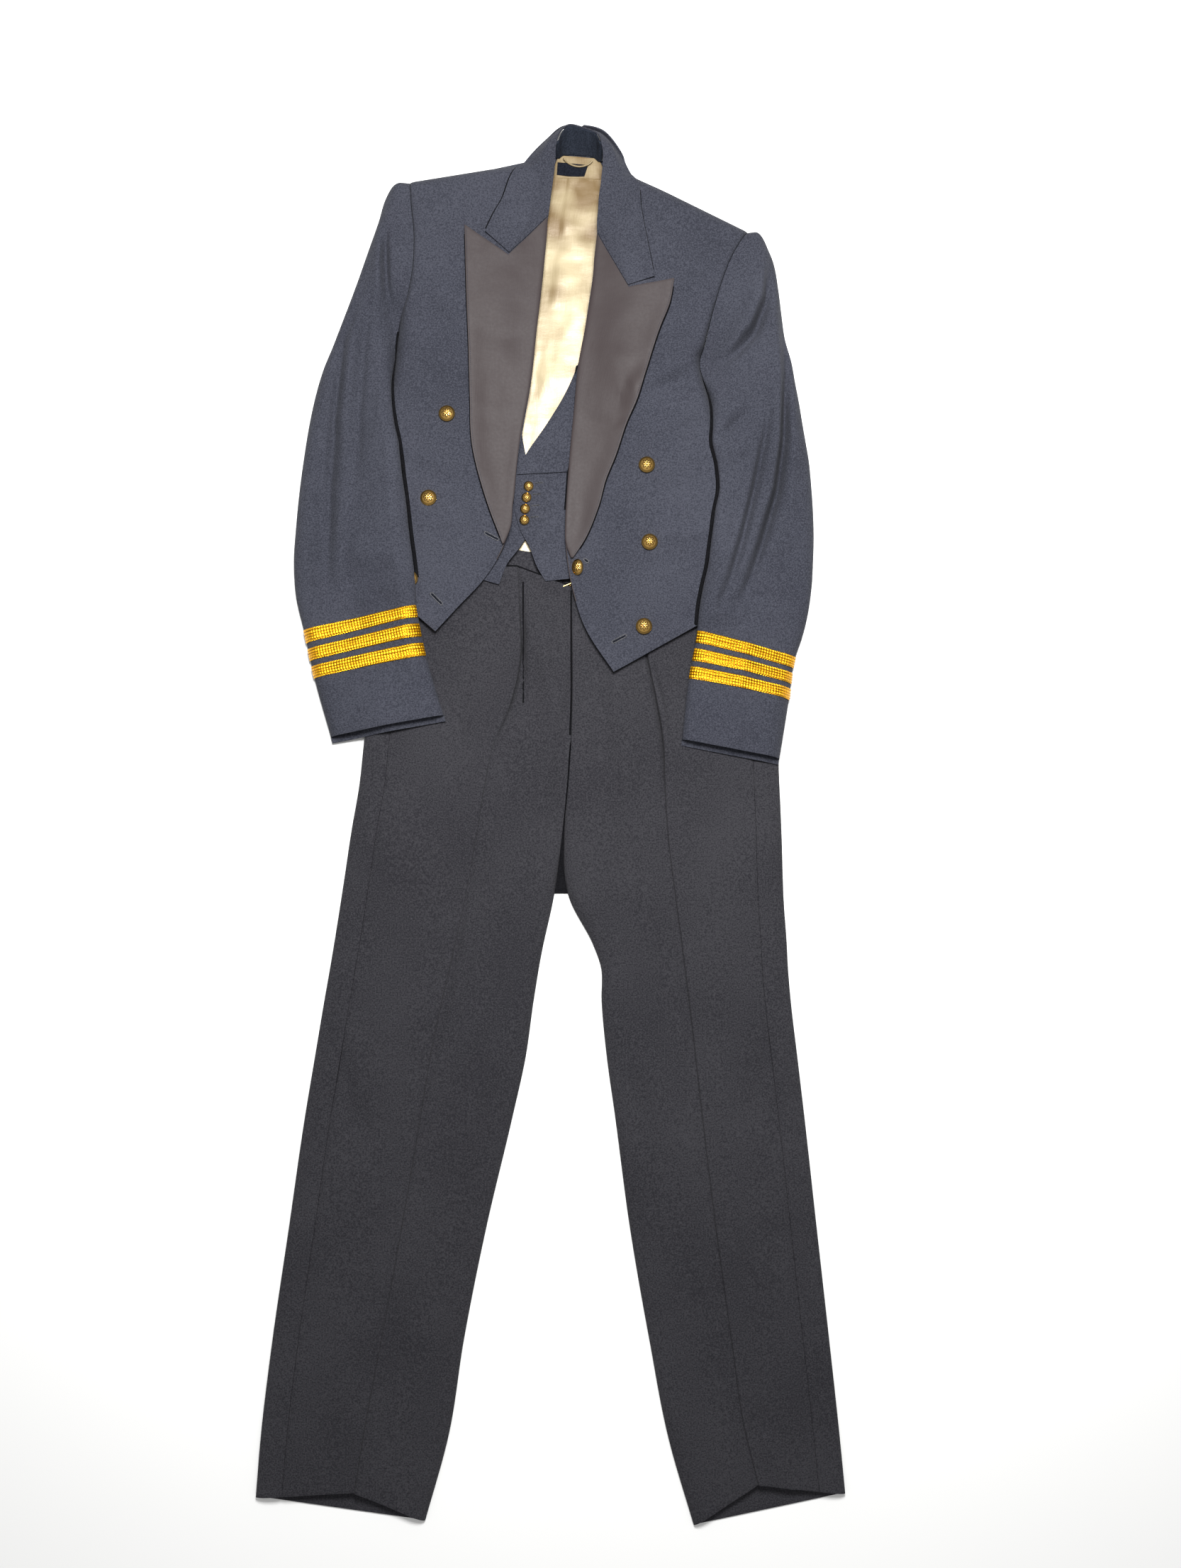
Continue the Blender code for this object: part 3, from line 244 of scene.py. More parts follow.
def clothPiece(node, grid, wall, finish, upward=True, stands=True):
    # a wall of cloth on a grid of points, in place of a frame node if it stands for one;
    # its UV map is in metres along the cloth
    name = node + "Cloth"
    rows, columns, _ = grid.shape
    index = np.arange(rows * columns).reshape(rows, columns)
    faces = np.stack([index[:-1, :-1], index[:-1, 1:], index[1:, 1:], index[1:, :-1]], axis=-1)
    faces = faces.reshape(-1, 4)
    i, j = (rows - 1) // 2, (columns - 1) // 2
    turn = np.cross(grid[i, j + 1] - grid[i, j], grid[i + 1, j] - grid[i, j])
    if (turn[2] < 0) == upward:
        faces = faces[:, ::-1]
    across = np.linalg.norm(np.diff(grid, axis=1), axis=2)
    down = np.linalg.norm(np.diff(grid, axis=0), axis=2)
    u = np.concatenate([np.zeros((rows, 1)), np.cumsum(across, axis=1)], axis=1)
    u -= u[:, -1:] / 2
    v = np.concatenate([[0], np.cumsum(down.mean(axis=1))])[:, None] + 0 * u
    placed = inFrame(grid)
    mesh = bpy.data.meshes.new(name)
    mesh.from_pydata(placed.reshape(-1, 3).tolist(), [], faces.tolist())
    layer = mesh.uv_layers.new(name="cloth")
    uv = np.stack([u, -v], axis=-1).reshape(-1, 2)[faces.reshape(-1)] * mm
    layer.data.foreach_set("uv", uv.astype(np.float32).reshape(-1))
    mesh.shade_smooth()
    obj = bpy.data.objects.new(name, mesh)
    bpy.context.scene.collection.objects.link(obj)
    solidify = obj.modifiers.new("wall", "SOLIDIFY")
    solidify.thickness = wall * mm
    solidify.offset = -1
    rim = obj.modifiers.new("softRim", "BEVEL")
    rim.width = wall * 0.3 * mm
    rim.segments = 2
    rim.limit_method = "ANGLE"
    rim.angle_limit = math.radians(60)
    mesh.materials.append(materials[finish])
    surfaces[node] = (grid, faces)
    place(obj, [node] if stands else [])


def boxOf(node):
    return (np.array(corner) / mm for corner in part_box(node))


def place(obj, nodes=()):
    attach(obj, "root")
    if nodes:
        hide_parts(*nodes)


def meshPiece(name, points, faces, finish, nodes=(), smoothAll=True):
    # points are in millimetres of the plan
    mesh = bpy.data.meshes.new(name)
    mesh.from_pydata(inFrame(points).tolist(), [], faces)
    if smoothAll:
        mesh.shade_smooth()
    mesh.materials.append(materials[finish])
    obj = bpy.data.objects.new(name, mesh)
    bpy.context.scene.collection.objects.link(obj)
    place(obj, nodes)


def tubePiece(name, routes, radius, finish, nodes=(), cyclic=False):
    # round threads and cords along routes of points in millimetres
    curve = bpy.data.curves.new(name, "CURVE")
    curve.dimensions = "3D"
    curve.bevel_depth = radius * mm
    curve.bevel_resolution = 1
    curve.use_fill_caps = True
    for route in routes:
        spline = curve.splines.new("POLY")
        spline.points.add(len(route) - 1)
        spline.use_cyclic_u = cyclic
        for spot, (x, y, z) in zip(spline.points, route):
            spot.co = ((x - middle[0]) * mm, (y - middle[1]) * mm, z * mm, 1)
    curve.materials.append(materials[finish])
    obj = bpy.data.objects.new(name, curve)
    bpy.context.scene.collection.objects.link(obj)
    place(obj, nodes)


# Node groups that several materials share

floatKind, vectorKind = "NodeSocketFloat", "NodeSocketVector"


def nodeGroup(name, inputs, outputs):
    group = bpy.data.node_groups.new(name, "ShaderNodeTree")
    for socket, kind, value in inputs:
        made = group.interface.new_socket(name=socket, in_out="INPUT", socket_type=kind)
        if value is not None:
            made.default_value = value
    for socket, kind in outputs:
        group.interface.new_socket(name=socket, in_out="OUTPUT", socket_type=kind)
    start = group.nodes.new("NodeGroupInput")
    end = group.nodes.new("NodeGroupOutput")
    return group, start, end


def feed(tree, value, socket):
    # joins an output to a socket, or gives the socket a number or a colour of its own
    if isinstance(value, (int, float)):
        socket.default_value = value
    elif isinstance(value, tuple):
        socket.default_value = (*value, 1)
    else:
        tree.links.new(value, socket)


def axes(tree, vector):
    split = tree.nodes.new("ShaderNodeSeparateXYZ")
    tree.links.new(vector, split.inputs[0])
    return split.outputs


def mathNode(tree, operation, a, b=None, clamp=False):
    node = tree.nodes.new("ShaderNodeMath")
    node.operation = operation
    node.use_clamp = clamp
    for socket, value in zip(node.inputs, (a, b)):
        if value is not None:
            feed(tree, value, socket)
    return node.outputs[0]


def plus(tree, a, b, clamp=False):
    return mathNode(tree, "ADD", a, b, clamp)


def times(tree, a, b, clamp=False):
    return mathNode(tree, "MULTIPLY", a, b, clamp)


def swing(tree, value, centre, gain, clamp=False):
    # how far a value is from its centre, times a gain
    return times(tree, mathNode(tree, "SUBTRACT", value, centre), gain, clamp)


def setInputs(node, values):
    for name, value in values.items():
        node.inputs[name].default_value = value


def noiseNode(tree, vector, scale, detail=3.0, rough=0.55, stretch=None):
    if stretch:
        mapping = tree.nodes.new("ShaderNodeMapping")
        mapping.inputs["Scale"].default_value = stretch
        tree.links.new(vector, mapping.inputs["Vector"])
        vector = mapping.outputs["Vector"]
    node = tree.nodes.new("ShaderNodeTexNoise")
    setInputs(node, {"Detail": detail, "Roughness": rough})
    tree.links.new(vector, node.inputs["Vector"])
    feed(tree, scale, node.inputs["Scale"])
    return node.outputs["Fac"]


def buildPebbleWeave():
    # short broken ribs in brick order, as barathea and fine worsted show
    group, start, end = nodeGroup(
        "pebbleWeave",
        [("Vector", vectorKind, None), ("Ribs per metre", floatKind, 900.0), ("Lean", floatKind, 0.5)],
        [("Height", floatKind), ("Mask", floatKind)],
    )
    cloth = axes(group, start.outputs["Vector"])
    u = times(group, cloth["X"], start.outputs["Ribs per metre"])
    v = times(group, cloth["Y"], start.outputs["Ribs per metre"])
    row = mathNode(group, "FLOOR", v)
    shifted = plus(group, u, times(group, row, start.outputs["Lean"]))
    humpU = mathNode(group, "SINE", times(group, mathNode(group, "FRACT", shifted), math.pi))
    humpV = mathNode(group, "SINE", times(group, mathNode(group, "FRACT", v), math.pi))
    height = times(group, humpU, humpV)
    fuzz = noiseNode(group, start.outputs["Vector"], 1700.0, 2.0)
    both = plus(group, height, times(group, fuzz, 0.5))
    group.links.new(both, end.inputs["Height"])
    group.links.new(height, end.inputs["Mask"])
    return group


def buildMottle():
    # uneven tone: broad patches, a fine grain, and a few pale specks of lint
    group, start, end = nodeGroup(
        "clothMottle",
        [("Vector", vectorKind, None), ("Patch", floatKind, 9.0), ("Grain", floatKind, 600.0)],
        [("Tone", floatKind), ("Grain", floatKind), ("Lint", floatKind)],
    )
    broad = noiseNode(group, start.outputs["Vector"], start.outputs["Patch"], 3.0)
    fine = noiseNode(group, start.outputs["Vector"], start.outputs["Grain"], 2.0)
    specks = group.nodes.new("ShaderNodeTexVoronoi")
    specks.inputs["Scale"].default_value = 95.0
    group.links.new(start.outputs["Vector"], specks.inputs["Vector"])
    near = mathNode(group, "LESS_THAN", specks.outputs["Distance"], 0.055)
    group.links.new(broad, end.inputs["Tone"])
    group.links.new(fine, end.inputs["Grain"])
    group.links.new(near, end.inputs["Lint"])
    return group


def buildSoftCreases():
    # shallow creases and drag lines, stretched along the cloth
    group, start, end = nodeGroup(
        "softCreases",
        [("Vector", vectorKind, None), ("Size", floatKind, 14.0)],
        [("Height", floatKind)],
    )
    first = noiseNode(group, start.outputs["Vector"], start.outputs["Size"], 4.0, 0.5, (2.2, 0.7, 1))
    twice = times(group, start.outputs["Size"], 2.6)
    second = noiseNode(group, start.outputs["Vector"], twice, 3.0, 0.5, (0.8, 2.0, 1))
    height = plus(group, first, times(group, second, 0.4))
    group.links.new(height, end.inputs["Height"])
    return group


def groupNode(tree, group, vector, **values):
    node = tree.nodes.new("ShaderNodeGroup")
    node.node_tree = group
    tree.links.new(vector, node.inputs["Vector"])
    setInputs(node, {name.replace("_", " "): value for name, value in values.items()})
    return node


def newMaterial(name):
    material = bpy.data.materials.new(name)
    material.use_nodes = True
    materials[name] = material
    tree = material.node_tree
    shader = tree.nodes["Principled BSDF"]
    coords = tree.nodes.new("ShaderNodeTexCoord")
    return tree, shader, coords


def mixColour(tree, share, dark, light):
    node = tree.nodes.new("ShaderNodeMix")
    node.data_type = "RGBA"
    for number, value in ((0, share), (6, dark), (7, light)):
        feed(tree, value, node.inputs[number])
    return node.outputs[2]


def paint(tree, shader, share, dark, light):
    tree.links.new(mixColour(tree, share, dark, light), shader.inputs["Base Color"])


def bumps(tree, shader, layers):
    # each layer is a height, a distance in metres and a strength
    normal = None
    for height, distance, strength in layers:
        bump = tree.nodes.new("ShaderNodeBump")
        bump.inputs["Distance"].default_value = distance
        bump.inputs["Strength"].default_value = strength
        tree.links.new(height, bump.inputs["Height"])
        if normal:
            tree.links.new(normal, bump.inputs["Normal"])
        normal = bump.outputs["Normal"]
    tree.links.new(normal, shader.inputs["Normal"])


wools = {
    "jacketWool": {"dark": (0.024, 0.0253, 0.0345), "light": (0.0545, 0.057, 0.073), "ribs": 900.0,
                   "rough": 0.9, "sheen": 0.03, "patch": 9.0},
    "standWool": {"dark": (0.010, 0.013, 0.020), "light": (0.024, 0.029, 0.042), "ribs": 900.0,
                  "rough": 0.9, "sheen": 0.0, "patch": 20.0},
    "trouserWool": {"dark": (0.018, 0.0175, 0.0215), "light": (0.044, 0.043, 0.049), "ribs": 1300.0,
                    "rough": 0.9, "sheen": 0.03, "patch": 7.0},
    "shadeWool": {"dark": (0.003, 0.003, 0.004), "light": (0.008, 0.008, 0.010), "ribs": 1300.0,
                  "rough": 0.95, "sheen": 0.0, "patch": 20.0},
    "thread": {"dark": (0.07, 0.07, 0.075), "light": (0.16, 0.16, 0.17), "ribs": 2500.0,
               "rough": 0.7, "sheen": 0.1, "patch": 40.0},
    "label": {"dark": (0.004, 0.005, 0.009), "light": (0.012, 0.014, 0.022), "ribs": 1800.0,
              "rough": 0.6, "sheen": 0.0, "patch": 30.0},
}


woolFinish = {
    "grain": 3.2,          # how much the fine grain shows in the tone
    "pebbles": 0.25,
    "lint": 0.25,
    "lintShine": 2.6,      # lint against the wool's light tone
    "creaseSize": 16.0,
    "specular": 0.12,
}


def buildWool(name, look, weave, mottle, creases):
    tree, shader, coords = newMaterial(name)
    weaves = groupNode(tree, weave, coords.outputs["UV"], Ribs_per_metre=look["ribs"])
    tones = groupNode(tree, mottle, coords.outputs["Object"], Patch=look["patch"])
    waves = groupNode(tree, creases, coords.outputs["Object"], Size=woolFinish["creaseSize"])
    grain = swing(tree, tones.outputs["Grain"], 0.5, woolFinish["grain"])
    share = plus(tree, tones.outputs["Tone"], grain, True)
    pebbles = swing(tree, weaves.outputs["Mask"], 0.4, woolFinish["pebbles"])
    share = plus(tree, share, pebbles, True)
    colour = mixColour(tree, share, look["dark"], look["light"])
    lint = times(tree, tones.outputs["Lint"], woolFinish["lint"])
    lintColour = tuple(woolFinish["lintShine"] * value for value in look["light"])
    paint(tree, shader, lint, colour, lintColour)
    setInputs(shader, {"Roughness": look["rough"], "Specular IOR Level": woolFinish["specular"],
                       "Sheen Weight": look["sheen"], "Sheen Roughness": 0.5})
    bumps(tree, shader, [(waves.outputs["Height"], 0.004, 0.35), (weaves.outputs["Height"], 0.00025, 0.8)])


satins = {
    "lapelSatin": {"dark": (0.0305, 0.022, 0.0225), "light": (0.037, 0.028, 0.028), "rough": 0.6,
                   "waves": 0.06, "streak": 0.4, "sheen": 0.02, "metal": 0.0, "specular": 0.3,
                   "patch": 14.0, "middle": 0.5, "sheenContrast": 1.0, "shadeTop": 0.0},
    "goldSatin": {"dark": (0.17, 0.11, 0.045), "light": (0.47, 0.39, 0.24), "rough": 0.36,
                  "waves": 0.12, "streak": 0.3, "sheen": 0.0, "metal": 0.1, "specular": 0.5,
                  "patch": 24.0, "middle": 0.42, "sheenContrast": 2.6, "shadeTop": 0.55},
}


def buildSatin(name, look, mottle, creases):
    tree, shader, coords = newMaterial(name)
    tones = groupNode(tree, mottle, coords.outputs["Object"], Patch=14.0, Grain=300.0)
    waves = groupNode(tree, creases, coords.outputs["Object"], Size=22.0)
    # painted sheen: broad lighter and darker patches in the satin's colour, strongest in the gold satin,
    # stand in for its blotchy highlights
    broad = noiseNode(tree, coords.outputs["Object"], look["patch"], 1.0, 0.4)
    threads = noiseNode(tree, coords.outputs["UV"], 700.0, 2.0, 0.6, (1, 0.06, 1))
    streak = swing(tree, threads, 0.5, look["streak"])
    tone = swing(tree, broad, look["middle"], look["sheenContrast"])
    high = swing(tree, axes(tree, coords.outputs["Object"])["Y"], 0.63, 12.0, True)
    tone = mathNode(tree, "SUBTRACT", tone, times(tree, high, look["shadeTop"]))
    share = plus(tree, plus(tree, tone, 0.5), streak, True)
    paint(tree, shader, share, look["dark"], look["light"])
    rough = times(tree, tones.outputs["Grain"], 0.12)
    rough = plus(tree, rough, look["rough"] - 0.06)
    tree.links.new(rough, shader.inputs["Roughness"])
    setInputs(shader, {"Metallic": look["metal"], "Specular IOR Level": look["specular"],
                       "Sheen Weight": look["sheen"], "Sheen Roughness": 0.35, "Anisotropic": 0.4})
    bumps(tree, shader, [(waves.outputs["Height"], 0.006, look["waves"]), (threads, 0.00012, 0.5)])


laceLook = {"dark": (0.22, 0.08, 0.001), "light": (1.0, 0.50, 0.012), "rough": 0.34, "metal": 0.85,
            "cord": 0.0034}


def buildLaceMetal(weave):
    tree, shader, coords = newMaterial("goldLace")
    weaves = groupNode(tree, weave, coords.outputs["UV"], Ribs_per_metre=300.0, Lean=0.0)
    # the colour is lighter on the cords and darker in the grooves between them: painted highlights and
    # painted shade
    down = axes(tree, coords.outputs["UV"])["Y"]
    wave = mathNode(tree, "SINE", times(tree, down, math.pi / laceLook["cord"]))
    cords = mathNode(tree, "POWER", mathNode(tree, "ABSOLUTE", wave), 0.7)
    # lengthwise streaks of painted glint along the metal threads
    paintedGlint = noiseNode(tree, coords.outputs["UV"], 520.0, 3.0, 0.6, (0.09, 1, 1))
    paintedGlint = swing(tree, paintedGlint, 0.5, 2.4)
    share = times(tree, cords, plus(tree, weaves.outputs["Mask"], 0.55))
    share = plus(tree, share, paintedGlint, True)
    paint(tree, shader, share, laceLook["dark"], laceLook["light"])
    setInputs(shader, {"Metallic": laceLook["metal"], "Roughness": laceLook["rough"]})
    bumps(tree, shader, [(weaves.outputs["Height"], 0.0006, 0.9)])


brassLook = {"dark": (0.18, 0.075, 0.012), "light": (0.88, 0.56, 0.17), "rough": 0.2}


def buildBrass(mottle):
    tree, shader, coords = newMaterial("brass")
    tones = groupNode(tree, mottle, coords.outputs["Object"], Patch=120.0, Grain=900.0)
    geometry = tree.nodes.new("ShaderNodeNewGeometry")
    raised = swing(tree, geometry.outputs["Pointiness"], 0.46, 9, True)
    share = plus(tree, raised, times(tree, tones.outputs["Tone"], 0.35), True)
    paint(tree, shader, share, brassLook["dark"], brassLook["light"])
    shader.inputs["Metallic"].default_value = 1.0
    rough = times(tree, tones.outputs["Grain"], 0.15)
    rough = plus(tree, rough, brassLook["rough"] - 0.06)
    tree.links.new(rough, shader.inputs["Roughness"])
    bumps(tree, shader, [(tones.outputs["Grain"], 0.0002, 0.3)])


weave = buildPebbleWeave()
mottle = buildMottle()
creases = buildSoftCreases()
for name, look in wools.items():
    buildWool(name, look, weave, mottle, creases)
for name, look in satins.items():
    buildSatin(name, look, mottle, creases)
buildLaceMetal(weave)
buildBrass(mottle)
print("materials made")


# Jacket: fronts, lining, lapels and collar

frontColumns = ("side_x", "side_y", "edge_x", "edge_y", "crown", "side_z", "edge_z")
frontLeft = (
    (-168, 741, -3, 769, 31, 27, 22),
    (-165, 704, -1, 727, 31, 27, 21),
    (-162, 670, -6, 684, 29, 25, 20),
    (-164, 631, -9, 642, 27, 22, 19),
    (-170, 601, -13, 603, 26, 17, 18),
    (-179, 576, -18, 560, 25, 6, 17),
    (-186, 516, -24, 501, 24, 2.3, 17),
    (-194, 464, -32, 452, 23, 2.3, 17),
    (-204, 414, -40, 403, 22, 2.3, 17),
    (-214, 367, -45, 352, 21, 2.3, 18),
    (-224, 334, -56, 301, 20, 2.3, 18),
    (-228, 308, -81, 260, 20, 2.3, 18),
    (-230, 296, -109, 230, 19, 2.3, 18),
    (-231, 287, -134, 202, 18, 2.3, 18),
)
frontRight = (
    (232, 680, 66, 765, 31, 27, 22),
    (215, 653, 56, 727, 31, 27, 21),
    (204, 629, 53, 676, 29, 25, 20),
    (195, 602, 48, 624, 28, 23, 19),
    (187, 574, 43, 590, 27, 19, 18),
    (180, 545, 39, 563, 26, 13, 18),
    (174, 521, 31, 520, 25, 6, 17),
    (187, 473, 28, 489, 24, 2.3, 17),
    (196, 431, 23, 429, 23, 2.3, 17),
    (207, 380, 19, 370, 22, 2.3, 17),
    (217, 329, 16, 311, 21, 2.3, 18),
    (222, 288, 24, 253, 20, 2.3, 18),
    (224, 254, 43, 199, 20, 2.3, 18),
    (226, 241, 72, 155, 19, 2.3, 18),
)
jacketFronts = {
    "rows": 150,
    "columns": 70,
    "sideRoll": 17.0,
    "shoulderRoll": 18.0,
    "seamRoll": 7.0,
    "edgeLift": 1.8,       # how far the free edges stand off what they lie on
    "wrinkle": 0.9,
    "foldGain": 1.25,
    "left": {
        "table": frontLeft,
        "armpitRow": 5,
        "cut": (0.24, 0.60),
        "folds": (
            (((-160, 640), (-140, 585), (-108, 545)), -2.0, 9, 13),
            (((-172, 560), (-130, 520), (-100, 505)), 2.8, 10, 14),
            (((-200, 440), (-170, 400), (-120, 380), (-90, 372)), -2.8, 9, 12),
            (((-195, 380), (-150, 345), (-110, 335)), 2.6, 9, 14),
            (((-120, 330), (-115, 270), (-122, 220)), -1.2, 8, 12),
            (((-150, 500), (-140, 430), (-150, 350)), 1.2, 14, 16),
        ),
    },
    "right": {
        "table": frontRight,
        "armpitRow": 6,
        "cut": (0.21, 0.64),
        "folds": (
            (((178, 560), (160, 520), (118, 498), (88, 492)), 3.6, 11, 12),
            (((176, 524), (150, 498), (100, 482)), -4.0, 8, 10),
            (((184, 470), (140, 446), (96, 440)), 2.8, 10, 13),
            (((205, 400), (160, 372), (110, 364), (60, 372)), -2.6, 12, 14),
            (((214, 340), (170, 318), (110, 312)), 2.4, 10, 14),
            (((150, 420), (160, 340), (150, 260)), -1.2, 12, 14),
            (((190, 640), (160, 600), (140, 560)), -1.8, 10, 14),
        ),
    },
}
edges = {}


def frontGrid(rows, v, count, look):
    side, edge = rows.point("side", v), rows.point("edge", v)
    length = np.linalg.norm(edge - side, axis=1)
    across = spread(length, look["sideRoll"], 8, count)
    plan = between(side, edge, across / length[:, None])
    crown = rows.read("crown", v)[:, None]
    sideZ = rows.read("side_z", v)[:, None]
    edgeZ = rows.read("edge_z", v)[:, None]
    width = look["seamRoll"] + (look["sideRoll"] - look["seamRoll"]) * step(12, 2.3, sideZ)
    low = np.maximum(sideZ, foldBase)
    z = low + (crown - low) * roll(across, width)
    z -= (crown - edgeZ) * step(0.55, 1, across / length[:, None])
    z = foldBase + (z - foldBase) * roll(v[:, None] * rows.length, look["shoulderRoll"])
    z = z + look["edgeLift"] * step(24, 0, length[:, None] - across) ** 2 * step(0.55, 0.7, v)[:, None]
    z = z + look["edgeLift"] * step(24, 0, (1 - v[:, None]) * rows.length) ** 2
    return plan, z, np.minimum(across, length[:, None] - across)


def buildFronts():
    look = jacketFronts
    for side in ("left", "right"):
        own = look[side]
        rows = PanelRows(frontColumns, own["table"])
        edges[side] = rows
        v = rolledRows(rows, look["shoulderRoll"], look["rows"])
        plan, z, inside = frontGrid(rows, v, look["columns"], look)
        x, y = plan[..., 0], plan[..., 1]
        quiet = step(0, 30, inside) * step(0, 40, v[:, None] * rows.length)
        z = z + quiet * look["foldGain"] * foldHeight(x, y, own["folds"])
        z = z + quiet * look["wrinkle"] * ripple(x, y, 38, 3.1)
        grid = np.dstack([plan, z])
        clothPiece(f"jacket_front_{side}", grid, stack["jacketWall"], "jacketWool")
    print("jacket fronts made")


satinColumns = ("left_x", "left_y", "right_x", "right_y")
lining = ((8, 772, 54, 768), (2, 762, 62, 757), (-10, 740, 75, 737), (-30, 706, 90, 703))
waistcoatBack = (
    (-8, 751, 66, 749),
    (-50, 738, 104, 728),
    (-95, 700, 132, 690),
    (-125, 600, 150, 600),
    (-150, 480, 170, 480),
    (-165, 380, 185, 380),
    (-170, 300, 185, 280),
    (-170, 272, 185, 252),
)
satinBacks = {
    "rows": 150,
    "columns": 56,
    "pleatTop": 18.0,      # centre pleat of the satin back at its top
    "pleatSlope": 0.134,
    "pleatRidge": 0.7,
    "liningPuckers": 0.5,
    "liningTuck": 7.0,     # how far the lining passes in under the stand
    "neckPuckers": 0.4,
    "blisters": 2.2,
    "fineBlisters": 0.35,
    "cut": (0.36, 0.50),
    "liningCut": (0.125, 0.075),
}


def satinHeight(y):
    return liningTop + (satinTop - liningTop) * step(675, 697, y)


def buildLining():
    look = satinBacks
    rows = PanelRows(satinColumns, lining)
    v = np.linspace(0, 1, 40)
    plan = even(rows.point("left", v), rows.point("right", v), 50)
    x, y = plan[..., 0], plan[..., 1]
    plan[..., 1] += look["liningTuck"] * step(0.35, 0, v)[:, None]
    z = liningTop + look["liningPuckers"] * ripple(x, y, 11, 8.2, (1, 0.5))
    clothPiece("jacket_lining_back", np.dstack([plan, z]), stack["satinWall"], "goldSatin")
    print("lining made")


def buildWaistcoatBack():
    look = satinBacks
    rows = PanelRows(satinColumns, waistcoatBack)
    v = np.linspace(0, 1, look["rows"])
    left, right = rows.point("left", v), rows.point("right", v)
    pleat = look["pleatTop"] - look["pleatSlope"] * (745 - left[:, 1])
    share = ((pleat - left[:, 0]) / (right[:, 0] - left[:, 0]))[:, None]
    half = np.linspace(0, 1, look["columns"] // 2)
    across = np.concatenate([half * (share - 0.004), share + 0.004 + half * (1 - share - 0.004)], axis=1)
    plan = between(left, right, across)
    x, y = plan[..., 0], plan[..., 1]
    past = x - pleat[:, None]
    ridge = look["pleatRidge"] * np.exp(-np.clip(past, 0, None) / 20) * (past > 0)
    top = step(700, 742, y)
    z = satinHeight(y) + ridge
    z = z + look["blisters"] * step(735, 690, y) * ripple(x, y, 30, 5.5, (1.1, 0.8))
    z = z + look["fineBlisters"] * ripple(x, y, 16, 2.5, (0.8, 1.3))
    z = z + look["neckPuckers"] * top * ripple(x, y, 5, 1.4, (1, 0.3))
    z = np.maximum(z, satinHeight(y) - 0.1)
    clothPiece("waistcoat_back", np.dstack([plan, z]), stack["satinWall"], "goldSatin")
    print("waistcoat back made")


lapelColumns = ("roll_x", "roll_y", "mid_x", "mid_y", "edge_x", "edge_y", "lift")
lapelLeft = (
    (-5, 695, -51, 647, -102, 680, 1.2),
    (-6, 674, -53, 634, -101, 648, 1.6),
    (-9, 641, -54, 615, -100, 611, 1.8),
    (-18, 559, -58, 547, -97, 539, 2.0),
    (-25, 496, -60, 485, -95, 475, 2.0),
    (-37, 428, -64, 422, -92, 418, 1.8),
    (-42, 384, -62, 380, -82, 376, 1.5),
    (-45, 352, -58, 347, -71, 342, 1.2),
    (-48, 322, -54, 318, -61, 316, 0.8),
    (-54.5, 305, -55.5, 304.5, -56.5, 304, 0.4),
)
lapelRight = (
    (53, 675, 90, 608, 143, 616, 1.2),
    (50, 649, 90, 592, 138, 588, 1.6),
    (48, 623, 87, 584, 127, 560, 1.8),
    (39, 562, 74, 531, 109, 504, 2.0),
    (31, 519, 65, 495, 100, 475, 2.0),
    (26, 466, 57, 455, 87, 445, 1.9),
    (21, 411, 48, 408, 74, 406, 1.8),
    (18, 369, 40, 373, 63, 379, 1.6),
    (16, 332, 34, 338, 54, 346, 1.2),
    (17, 303, 27, 304, 38, 308, 0.8),
    (22.5, 288, 23.7, 288, 25, 288, 0.4),
)
lapels = {
    "rows": 110,
    "columns": 36,
    "edgeLift": 2.4,
    "edgeReach": 32.0,
    "rollLift": 1.2,       # rise from the roll line, over rollReach
    "rollReach": 9.0,
    "wrinkle": 0.3,
    "left": {"table": lapelLeft, "cut": (0.12, 0.41), "folds": (
        (((-100, 560), (-60, 548), (-24, 552)), -0.9, 7, 9),
        (((-96, 470), (-62, 462), (-34, 470)), 0.8, 8, 9),
    )},
    "right": {"table": lapelRight, "cut": (0.12, 0.42), "folds": (
        (((126, 545), (90, 520), (44, 540)), 0.9, 8, 10),
        (((104, 462), (70, 446), (30, 452)), -0.8, 8, 9),
    )},
}


def buildLapels():
    look = lapels
    for side in ("left", "right"):
        own = look[side]
        rows = PanelRows(lapelColumns, own["table"])
        v = np.linspace(0, 1, look["rows"])
        rollLine, mid, edge = (rows.point(n, v) for n in ("roll", "mid", "edge"))
        first = even(rollLine, mid, look["columns"] // 2)
        second = even(mid, edge, look["columns"] // 2)
        plan = np.concatenate([first, second[:, 1:]], axis=1)
        z = laidOn([f"jacket_front_{side}"], plan, stack["facingWall"])
        share = np.linspace(0, 1, plan.shape[1])[None, :]
        z = z + rows.read("lift", v)[:, None] * share**2
        length = np.linalg.norm(edge - rollLine, axis=1)[:, None]
        fromRoll = length * share
        z = z + look["rollLift"] * roll(fromRoll, look["rollReach"]) - look["rollLift"]
        z = z + look["edgeLift"] * step(look["edgeReach"], 0, length - fromRoll) ** 2
        z = z + foldHeight(plan[..., 0], plan[..., 1], own["folds"])
        z = z + look["wrinkle"] * ripple(plan[..., 0], plan[..., 1], 24, 7.7)
        clothPiece(f"lapel_{side}", np.dstack([plan, z]), stack["facingWall"], "lapelSatin")
    print("lapels made")


